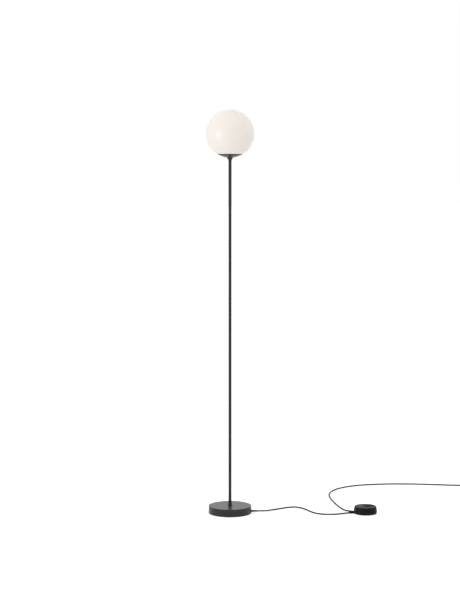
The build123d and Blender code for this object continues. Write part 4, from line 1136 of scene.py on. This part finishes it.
# ---------------------------------------------------------------- foot dimmer
class LAMP_OT_dimmer(LampStep, bpy.types.Operator):
    """Mould the dimmer's cover and dial, and its feet"""

    bl_idname = "lamp.dimmer"
    bl_label = "Foot dimmer"

    def execute(self, context):
        dimmer = context.scene.lamp_dimmer
        self.cover(dimmer)
        self.dial(dimmer)
        self.feet()
        return {"FINISHED"}

    def cover(self, dimmer):
        """The cover: turned rings whose middles move from the cover's to the dial's as they shrink."""
        foot, top, wall = low("dimmer_cover"), high("dimmer_cover"), 2.2 * MM
        radius, draft, drawn_in = DIMMER_RADIUS, 3.6 * MM, 1.6 * MM
        dial = half_width("dimmer_dial")
        well, skirt = dial + 0.4 * MM, dial + 1.6 * MM
        skirt_foot = low("dimmer_dial") + 0.5 * MM
        offset = DIAL_PLACE[0] - DIMMER_PLACE[0]
        flat = radius - draft - dimmer.top_edge

        def aside(ring):
            return offset * np.clip((flat - ring) / (flat - skirt), 0, 1)

        cover = turned_skin(
            [
                (radius - drawn_in, foot, 2.4 * MM),
                (radius, foot + 8 * MM, 14 * MM),
                (radius - 1.2 * MM, foot + 19 * MM, 14 * MM),
                (radius - draft, top, dimmer.top_edge),
                (flat - 0.4 * MM, top, 0),
                (skirt, top, 0),
                (well, top, 0.4 * MM),
                (well, skirt_foot, 0.2 * MM),
                (skirt, skirt_foot, 0.2 * MM),
                (skirt, top - wall, 0.2 * MM),
                (flat, top - wall, 0),
                (radius - draft - wall, top - wall, 1.8 * MM),
                (radius - drawn_in - wall, foot, 0.3 * MM),
            ],
            DIMMER_PLACE,
            columns=192,
            steps=8,
            shift=aside,
        )
        dress(made("dimmer_cover_moulded", cover), "black_plastic", "lamp", "dimmer_cover")

    def dial(self, dimmer):
        """The dial: a disc whose top sinks into a hollow on each side of the bar.

        How far a point lies inside a hollow is the smaller of its distances to the round edge and to
        the bar's side, blended where they meet. The depth follows it in a smooth step.
        """
        foot, top, radius = low("dimmer_dial"), high("dimmer_dial"), half_width("dimmer_dial")
        edge, bore, bore_top = 1.2 * MM, 3.05 * MM, foot + 6 * MM
        outline = rounded(
            [
                (0, bore_top, 0),
                (bore, bore_top, 0),
                (bore, foot, 0.2 * MM),
                (radius, foot, 0.4 * MM),
                (radius, top, edge),
                (radius - edge - 0.4 * MM, top, 0),
            ]
        )
        inward = np.linspace(radius - edge - 0.6 * MM, 0.2 * MM, 96)
        outline = np.vstack([outline, np.stack([inward, np.full(96, top)], -1)])
        grid = rings(outline, columns=224)[1:]
        x, y = grid[..., 0], grid[..., 1]
        ring = np.hypot(x, y)
        bar_side = np.abs(y) - dimmer.bar_width / 2
        round_side = dimmer.hollow_radius - ring
        blend = 3 * MM
        mix = np.clip(0.5 + (round_side - bar_side) / (2 * blend), 0, 1)
        inside = round_side * (1 - mix) + bar_side * mix - blend * mix * (1 - mix)
        step = np.clip((inside + 0.3 * MM) / (4.2 * MM), 0, 1)
        sunk = dimmer.hollow_depth * (step * (2 - step)) ** 1.4
        on_top = grid[..., 2] > top - 0.01 * MM
        grid[..., 2] -= np.where(on_top, sunk, 0)
        points, quads, fans = skin(grid, first_pole=(0, 0, bore_top), last_pole=(0, 0, top))
        points = turned_to(points, dimmer.bar_angle) + np.array([*DIAL_PLACE, 0])
        dial = made("dimmer_dial_moulded", (points, quads, fans), sharp=60)
        dress(dial, "black_plastic", "dial", "dimmer_dial")

    def feet(self):
        """Four round rubber feet, flat underneath, with soft edges."""
        radius, height = 5 * MM, high("dimmer_feet")
        circle = 38.5 * MM
        corners = [(0, 0, 0), (radius, 0, 0.4 * MM), (radius, height, 0.2 * MM), (0, height, 0)]
        skins = []
        for n in range(4):
            place = onward((*DIMMER_PLACE, 0), math.pi / 4 + n * math.pi / 2, circle)
            skins.append(solid_skin(corners, place[:2], columns=32, steps=4))
        dress(made("dimmer_feet_pads", *skins), "black_rubber", "lamp", "dimmer_feet")


# ---------------------------------------------------------------- strain reliefs, tie and plug
class LAMP_OT_reliefs(LampStep, bpy.types.Operator):
    """Mould the base's cord gland and the tapered, grooved strain reliefs of dimmer and plug"""

    bl_idname = "lamp.reliefs"
    bl_label = "Strain reliefs"

    def execute(self, context):
        start = GLAND_TIP[0] - RELIEF_LENGTH
        wall = half_width("base_cover") + 0.05 * MM
        gland = solid_skin(
            [
                (0, low("cord_gland", 0), 0),
                (GLAND_NECK, low("cord_gland", 0), 0.4 * MM),
                (GLAND_NECK, wall, 0),
                (GLAND_FLANGE, wall, 0.15 * MM),
                (GLAND_FLANGE, start, 0.6 * MM),
                (RELIEF_ROOT, start, 0.4 * MM),
                *relief_corners(start, RELIEF_ROOT, RELIEF_TIP),
            ],
            columns=48,
            steps=4,
        )
        gland = laid_skin(gland, (0, 0, GLAND_TIP[2]), 0)
        dress(made("cord_gland_moulded", gland, sharp=70), "black_rubber", "lamp", "cord_gland")
        for node, place, angle in (
            ("dimmer_relief_in", WALL_IN, ANGLE_IN),
            ("dimmer_relief_out", WALL_OUT, ANGLE_OUT),
            ("plug_relief", PLUG_PLACE, PLUG_ANGLE + math.pi),
        ):
            root = [(0, 0, 0), (RELIEF_ROOT, 0, 0.3 * MM)]
            if node != "plug_relief":
                root = [(0, -RELIEF_SUNK, 0), (RELIEF_ROOT, -RELIEF_SUNK, 1 * MM)]
            taper = solid_skin([*root, *relief_corners(0, RELIEF_ROOT, RELIEF_TIP)], columns=48, steps=4)
            relief = made(node + "_moulded", laid_skin(taper, place, angle), sharp=70)
            dress(relief, "black_rubber", "lamp", node)
        return {"FINISHED"}


def soft_box(width, height, corner, arc_steps=8, flat_steps=8):
    """A rectangle with round corners, as points (across, up) in a ring. width, height and corner are
    half widths, half heights and radii, one for each row: each is a column of numbers.

    A point is its corner's middle plus the radius times the cosine and sine of its angle. Along a
    flat the angle stands still and the middle moves on to the next corner's.
    """
    angles, across, up = [], [], []
    signs = [(1, 1), (-1, 1), (-1, -1), (1, -1), (1, 1)]
    for quarter in range(4):
        (x, y), (next_x, next_y) = signs[quarter], signs[quarter + 1]
        turn = np.linspace(0, np.pi / 2, arc_steps + 1) + quarter * np.pi / 2
        along = np.linspace(0, 1, flat_steps + 1)[1:-1]
        angles += [turn, np.full(len(along), turn[-1])]
        across += [np.full(len(turn), float(x)), x + (next_x - x) * along]
        up += [np.full(len(turn), float(y)), y + (next_y - y) * along]
    angles, across, up = np.concatenate(angles), np.concatenate(across), np.concatenate(up)
    return np.stack(
        [
            across * (width - corner) + corner * np.cos(angles),
            up * (height - corner) + corner * np.sin(angles),
        ],
        -1,
    )


class LAMP_OT_plug(LampStep, bpy.types.Operator):
    """Mould the plug's body with its grips and turn its two round pins"""

    bl_idname = "lamp.plug"
    bl_label = "Plug"

    def execute(self, context):
        self.body()
        self.pins()
        return {"FINISHED"}

    def body(self):
        """The plug: soft rectangles carried along its length. Its half width swells from its root to
        its widest place and shrinks a little to its face, both ends draw in along a quarter circle,
        and the flat sides dip in four shallow grooves across."""
        half_thickness, edge = PLUG_HEIGHT, 3 * MM
        root, widest, widest_at = 6.5 * MM, 13 * MM, 24 * MM
        grip_start, grip_end, rib = 9 * MM, 25 * MM, 4 * MM
        along = PLUG_LENGTH * (0.5 - 0.5 * np.cos(np.linspace(0, np.pi, 72)))
        ease = np.clip(along / widest_at, 0, 1)
        past = np.clip((along - widest_at) / (PLUG_LENGTH - widest_at), 0, 1)
        width = root + (widest - root) * (1 - (1 - ease) ** 1.35) - 0.8 * MM * past**1.5
        from_end = np.minimum(along, PLUG_LENGTH - along)
        draw_in = edge - np.sqrt(np.clip(edge**2 - np.clip(edge - from_end, 0, edge) ** 2, 0, None))
        width, height = (width - draw_in)[:, None], (half_thickness - draw_in)[:, None]
        corner = np.minimum(edge, 0.98 * np.minimum(width, height))
        ring = soft_box(width, height, corner, 8, 14)
        across, up = ring[..., 0], ring[..., 1]
        position = along[:, None]
        ribs = 0.5 - 0.5 * np.cos(2 * np.pi * (position - grip_start) / rib)
        in_grip = (position > grip_start) & (position < grip_end)
        reach = np.clip((8.5 * MM - np.abs(across)) / (1.5 * MM), 0, 1)
        on_flat = np.abs(up) > height - 0.05 * MM
        up = up - np.sign(up) * 0.45 * MM * ribs * reach * in_grip * on_flat
        x = np.broadcast_to(position, across.shape)
        grid = turned_to(np.stack([x, across, up], -1), PLUG_ANGLE) + np.array(PLUG_PLACE)
        face = onward(PLUG_PLACE, PLUG_ANGLE, PLUG_LENGTH)
        body = skin(grid, first_pole=PLUG_PLACE, last_pole=face)
        dress(made("plug_body_moulded", body, sharp=50), "black_plastic", "lamp", "plug_body")

    def pins(self):
        """Two pins: a bare rounded end of metal, and a slightly thinner sleeve on the half that
        comes into the open when the plug is partly drawn."""
        face = onward(PLUG_PLACE, PLUG_ANGLE, PLUG_LENGTH)
        sleeve_length, sleeve_radius = 9.5 * MM, PIN_RADIUS - 0.1 * MM
        bare_start = sleeve_length - 1 * MM
        pins, sleeves = [], []
        for side in (-1, 1):
            place = onward(face, PLUG_ANGLE + math.pi / 2, side * PIN_SPACING / 2)
            pin = solid_skin(
                [
                    (0, bare_start, 0),
                    (PIN_RADIUS, bare_start, 0.1 * MM),
                    (PIN_RADIUS, PIN_LENGTH, 1.2 * MM),
                    (0, PIN_LENGTH, 0),
                ],
                columns=40,
            )
            sleeve = solid_skin(
                [
                    (0, -PIN_SUNK, 0),
                    (sleeve_radius, -PIN_SUNK, 0),
                    (sleeve_radius, sleeve_length, 0.05 * MM),
                    (0, sleeve_length, 0),
                ],
                columns=40,
                steps=3,
            )
            pins.append(laid_skin(pin, place, PLUG_ANGLE))
            sleeves.append(laid_skin(sleeve, place, PLUG_ANGLE))
        dress(made("plug_pins_bare", *pins), "nickel_plate", "lamp", "plug_pins")
        dress(made("plug_pins_sleeves", *sleeves), "black_plastic", "lamp")


class LAMP_OT_tie(LampStep, bpy.types.Operator):
    """Close the strap round the coil of spare cord"""

    bl_idname = "lamp.tie"
    bl_label = "Coil tie"

    def execute(self, context):
        """The strap: a thin soft rectangle carried round a larger one in the coil's radial plane."""
        first = (TIE_ANGLE - COIL_START) / (2 * math.pi) % 1
        turns = np.arange(first, COIL_TURNS, 1)
        radii = coil_radius(turns)
        gauge, cord = 0.7 * MM, 3 * MM
        inner = radii.min() - cord - 1.4 * MM
        outer = radii.max() + cord + 0.7 * MM
        top = COIL_FOOT + COIL_RISE + cord + 0.1 * MM
        half = (outer - inner) / 2
        rise = (top - gauge) / 2
        band = 6 * MM
        edge = np.array([(0, 0.15, 0.5, 0.85, 1)]).T * gauge
        widths = np.array([band - 0.25 * MM, band, band, band, band - 0.25 * MM])
        out = np.concatenate([edge[:, 0], edge[::-1, 0]])
        side = np.concatenate([widths, -widths[::-1]])
        size = np.stack([half + out, rise + out], -1)
        corner = (1.4 * MM + out)[:, None]
        ring = soft_box(size[:, :1], size[:, 1:], corner, 8, 6)
        radial = (inner + outer) / 2 + ring[..., 0]
        up = gauge + rise + ring[..., 1]
        across = np.broadcast_to(side[:, None], radial.shape)
        grid = turned_to(np.stack([radial, across, up], -1), TIE_ANGLE) + np.array([*COIL_PLACE, 0])
        dress(made("coil_tie_strap", skin(grid, loop=True)), "black_plastic", "lamp", "coil_tie")
        return {"FINISHED"}


# ---------------------------------------------------------------- cords
def laid_cord(name, route, diameter):
    """A round cord along a smooth spline whose control points are the route's."""
    curve = bpy.data.curves.new(name, "CURVE")
    curve.dimensions = "3D"
    curve.bevel_depth = diameter / 2
    curve.bevel_resolution = 6
    curve.use_fill_caps = True
    curve.resolution_u = 8
    spline = curve.splines.new("NURBS")
    spline.points.add(len(route) - 1)
    weighted = np.hstack([np.asarray(route, float), np.ones((len(route), 1))])
    spline.points.foreach_set("co", weighted.ravel())
    spline.order_u = 3
    spline.use_endpoint_u = True
    obj = bpy.data.objects.new(name, curve)
    bpy.context.scene.collection.objects.link(obj)
    return obj


class LAMP_OT_cords(LampStep, bpy.types.Operator):
    """Lay the cord from base to dimmer, and the one from there to its coil and plug"""

    bl_idname = "lamp.cords"
    bl_label = "Cords"

    def execute(self, context):
        cord = context.scene.lamp_cord
        near = [
            GLAND_TIP,
            onward(GLAND_TIP, 0, CORD_RUN),
            (0.157, 0.015, 0.006),
            (0.184, 0.043, 0.004),
            (0.216, 0.070, 0.003),
            (0.251, 0.096, 0.003),
            (0.280, 0.101, 0.003),
            (0.304, 0.083, 0.003),
            (0.325, 0.045, 0.003),
            (0.348, -0.008, 0.003),
            (0.379, -0.039, 0.003),
            (0.418, -0.044, 0.003),
            (0.452, -0.041, 0.0036),
            onward(TIP_IN, ANGLE_IN, CORD_RUN),
            TIP_IN,
        ]
        near_cord = laid_cord("cord_base_to_dimmer", near, cord.diameter)
        dress(near_cord, "cord_sheath", "lamp", "cord_to_dimmer")
        heading = coil_heading(0)
        leaving = coil_heading(COIL_TURNS)
        plug_heading = np.array([math.cos(PLUG_ANGLE), math.sin(PLUG_ANGLE), 0])
        turns = np.linspace(0, COIL_TURNS, round(COIL_TURNS * cord.points_per_turn) + 1)
        outward = 1 / math.cos(math.pi / cord.points_per_turn)
        coil = coil_line(turns, outward)
        coil_start = coil_line(np.array([0.0]))[0]
        far = np.vstack(
            [
                TIP_OUT,
                onward(TIP_OUT, ANGLE_OUT, CORD_RUN),
                (0.478, 0.052, 0.0036),
                (0.468, 0.095, 0.003),
                (0.456, 0.155, 0.003),
                (0.446, 0.218, 0.003),
                (0.438, 0.288, 0.003),
                (0.437, 0.348, 0.003),
                (0.448, 0.412, 0.003),
                (0.477, 0.473, 0.003),
                (0.524, 0.522, 0.003),
                (0.585, 0.558, 0.003),
                (0.655, 0.577, 0.003),
                (0.730, 0.587, 0.003),
                (0.805, 0.586, 0.003),
                (0.880, 0.580, 0.003),
                (0.950, 0.568, 0.003),
                (1.015, 0.558, 0.003),
                coil_start - heading * COIL_LEAD,
                coil_start - heading * COIL_STRAIGHT,
                coil,
                COIL_END,
                COIL_END + leaving * PLUG_RUN,
                np.array(PLUG_TIP) - plug_heading * PLUG_RUN,
                PLUG_TIP,
            ]
        )
        far_cord = laid_cord("cord_dimmer_to_plug", far, cord.diameter)
        dress(far_cord, "cord_sheath", "lamp", "cord_to_plug", "cord_coil", "cord_tail")
        return {"FINISHED"}


# ---------------------------------------------------------------- camera and stage
# Where the soft lamps stand, their width, and what both look at
KEY_PLACE = (-3.2, -2.2, 1.2)
KEY_SIZE = 2.2
TOP_PLACE = (0.4, -1.0, 4.0)
TOP_SIZE = 2.4
LAMP_AIM = (0, 0, 0.8)

# The floor: how far it reaches, how far it lies under the lamp, its paleness, and how much of its
# glow a gloss sees
FLOOR_REACH = 40.0
FLOOR_DROP = 0.4 * MM
FLOOR_PALENESS = 0.88
FLOOR_MIRRORED = 0.3


class LAMP_OT_camera(LampStep, bpy.types.Operator):
    """Stand the camera in front of the lamp, looking slightly down"""

    bl_idname = "lamp.camera"
    bl_label = "Camera"

    def execute(self, context):
        stage = context.scene.lamp_stage
        lens = bpy.data.cameras.new("front camera")
        lens.lens = stage.lens
        lens.sensor_width = 36
        camera = bpy.data.objects.new("front camera", lens)
        camera.location = (0, -stage.camera_distance, stage.camera_height)
        camera.rotation_euler = (math.pi / 2 - stage.camera_tilt, 0, 0)
        context.scene.collection.objects.link(camera)
        context.scene.camera = camera
        return {"FINISHED"}


class LAMP_OT_stage(LampStep, bpy.types.Operator):
    """Set up the white floor, the even room light and the soft lamps"""

    bl_idname = "lamp.stage"
    bl_label = "Stage"

    def execute(self, context):
        stage = context.scene.lamp_stage
        mesh = bpy.data.meshes.new("floor")
        corners = [
            (x * FLOOR_REACH, y * FLOOR_REACH, -FLOOR_DROP) for x, y in ((-1, -1), (1, -1), (1, 1), (-1, 1))
        ]
        mesh.from_pydata(corners, [], [(0, 1, 2, 3)])
        floor = bpy.data.objects.new("floor", mesh)
        context.scene.collection.objects.link(floor)
        mesh.materials.append(self.floor_white(stage.floor_glow))
        self.room(context, stage.room_light)
        self.soft_lamp("key lamp", KEY_PLACE, KEY_SIZE, stage.key_power)
        self.soft_lamp("top lamp", TOP_PLACE, TOP_SIZE, stage.top_power)
        context.scene.view_settings.view_transform = "Standard"
        return {"FINISHED"}

    def seen_directly(self, tree, mirrored=1.0):
        """One for rays from the camera or through glass, mirrored for those from a gloss, or nothing."""
        path = tree.nodes.new("ShaderNodeLightPath")
        gloss = tree.nodes.new("ShaderNodeMath")
        gloss.operation = "MULTIPLY"
        gloss.inputs[1].default_value = mirrored
        tree.links.new(path.outputs["Is Glossy Ray"], gloss.inputs[0])
        first = tree.nodes.new("ShaderNodeMath")
        first.operation = "MAXIMUM"
        both = tree.nodes.new("ShaderNodeMath")
        both.operation = "MAXIMUM"
        tree.links.new(path.outputs["Is Camera Ray"], first.inputs[0])
        tree.links.new(gloss.outputs[0], first.inputs[1])
        tree.links.new(first.outputs[0], both.inputs[0])
        tree.links.new(path.outputs["Is Transmission Ray"], both.inputs[1])
        return both.outputs[0]

    def floor_white(self, glow_strength):
        """A pale matt floor with a glow of its own where it is looked at, so that it reads as white
        and its shadows stay faint. A gloss sees less of the glow, so that it mirrors plain white."""
        material = bpy.data.materials.new("floor white")
        material.use_nodes = True
        tree = material.node_tree
        tree.nodes.clear()
        output = tree.nodes.new("ShaderNodeOutputMaterial")
        matt = tree.nodes.new("ShaderNodeBsdfDiffuse")
        matt.inputs["Color"].default_value = (FLOOR_PALENESS, FLOOR_PALENESS, FLOOR_PALENESS, 1)
        glow = tree.nodes.new("ShaderNodeEmission")
        strength = tree.nodes.new("ShaderNodeMath")
        strength.operation = "MULTIPLY"
        strength.inputs[1].default_value = glow_strength
        both = tree.nodes.new("ShaderNodeAddShader")
        tree.links.new(self.seen_directly(tree, FLOOR_MIRRORED), strength.inputs[0])
        tree.links.new(strength.outputs[0], glow.inputs["Strength"])
        tree.links.new(matt.outputs["BSDF"], both.inputs[0])
        tree.links.new(glow.outputs["Emission"], both.inputs[1])
        tree.links.new(both.outputs["Shader"], output.inputs["Surface"])
        return material

    def room(self, context, light):
        """White all round where it is looked at or mirrored, and an even light of its own on surfaces."""
        world = bpy.data.worlds.new("white room")
        context.scene.world = world
        world.use_nodes = True
        tree = world.node_tree
        tree.nodes.clear()
        output = tree.nodes.new("ShaderNodeOutputWorld")
        even = tree.nodes.new("ShaderNodeBackground")
        even.inputs["Strength"].default_value = light
        even.inputs["Color"].default_value = (1, 1, 1, 1)
        white = tree.nodes.new("ShaderNodeBackground")
        white.inputs["Strength"].default_value = 1.0
        white.inputs["Color"].default_value = (1, 1, 1, 1)
        blend = tree.nodes.new("ShaderNodeMixShader")
        tree.links.new(self.seen_directly(tree), blend.inputs["Fac"])
        tree.links.new(even.outputs["Background"], blend.inputs[1])
        tree.links.new(white.outputs["Background"], blend.inputs[2])
        tree.links.new(blend.outputs["Shader"], output.inputs["Surface"])

    def soft_lamp(self, name, place, size, power):
        """A square soft lamp that looks at the middle of the lamp's stand."""
        light = bpy.data.lights.new(name, "AREA")
        light.energy = power
        light.size = size
        lamp = bpy.data.objects.new(name, light)
        lamp.location = place
        lamp.rotation_euler = (Vector(LAMP_AIM) - Vector(place)).to_track_quat("-Z", "Y").to_euler()
        bpy.context.scene.collection.objects.link(lamp)


# ---------------------------------------------------------------- panel and registration
SETTINGS = {
    "lamp_globe": LampGlobeSettings,
    "lamp_stand": LampStandSettings,
    "lamp_dimmer": LampDimmerSettings,
    "lamp_cord": LampCordSettings,
    "lamp_stage": LampStageSettings,
}

STEPS = (
    LAMP_OT_camera,
    LAMP_OT_finishes,
    LAMP_OT_base,
    LAMP_OT_rod,
    LAMP_OT_collars,
    LAMP_OT_globe,
    LAMP_OT_holder,
    LAMP_OT_lampholder,
    LAMP_OT_bulb,
    LAMP_OT_dimmer,
    LAMP_OT_reliefs,
    LAMP_OT_plug,
    LAMP_OT_tie,
    LAMP_OT_cords,
    LAMP_OT_stage,
)


class LAMP_PT_panel(bpy.types.Panel):
    """Lists the lamp's settings and its steps"""

    bl_idname = "LAMP_PT_panel"
    bl_label = "Globe Floor Lamp"
    bl_space_type = "VIEW_3D"
    bl_region_type = "UI"
    bl_category = "Floor Lamp"

    def draw(self, context):
        for attribute in SETTINGS:
            group = getattr(context.scene, attribute)
            box = self.layout.box()
            for setting in group.bl_rna.properties:
                if setting.identifier not in ("rna_type", "name"):
                    box.prop(group, setting.identifier)
        for step in STEPS:
            self.layout.operator(step.bl_idname)


CLASSES = (*SETTINGS.values(), *STEPS, LAMP_PT_panel)


def register():
    """Registers the classes and hangs the settings on the scene."""
    for cls in CLASSES:
        bpy.utils.register_class(cls)
    for attribute, group in SETTINGS.items():
        setattr(bpy.types.Scene, attribute, bpy.props.PointerProperty(type=group))


def unregister():
    """Takes the settings and the classes away again."""
    for attribute in SETTINGS:
        delattr(bpy.types.Scene, attribute)
    for cls in reversed(CLASSES):
        bpy.utils.unregister_class(cls)


def main():
    register()
    for step in STEPS:
        getattr(bpy.ops.lamp, step.bl_idname.split(".")[1])()


if __name__ == "__main__":
    main()
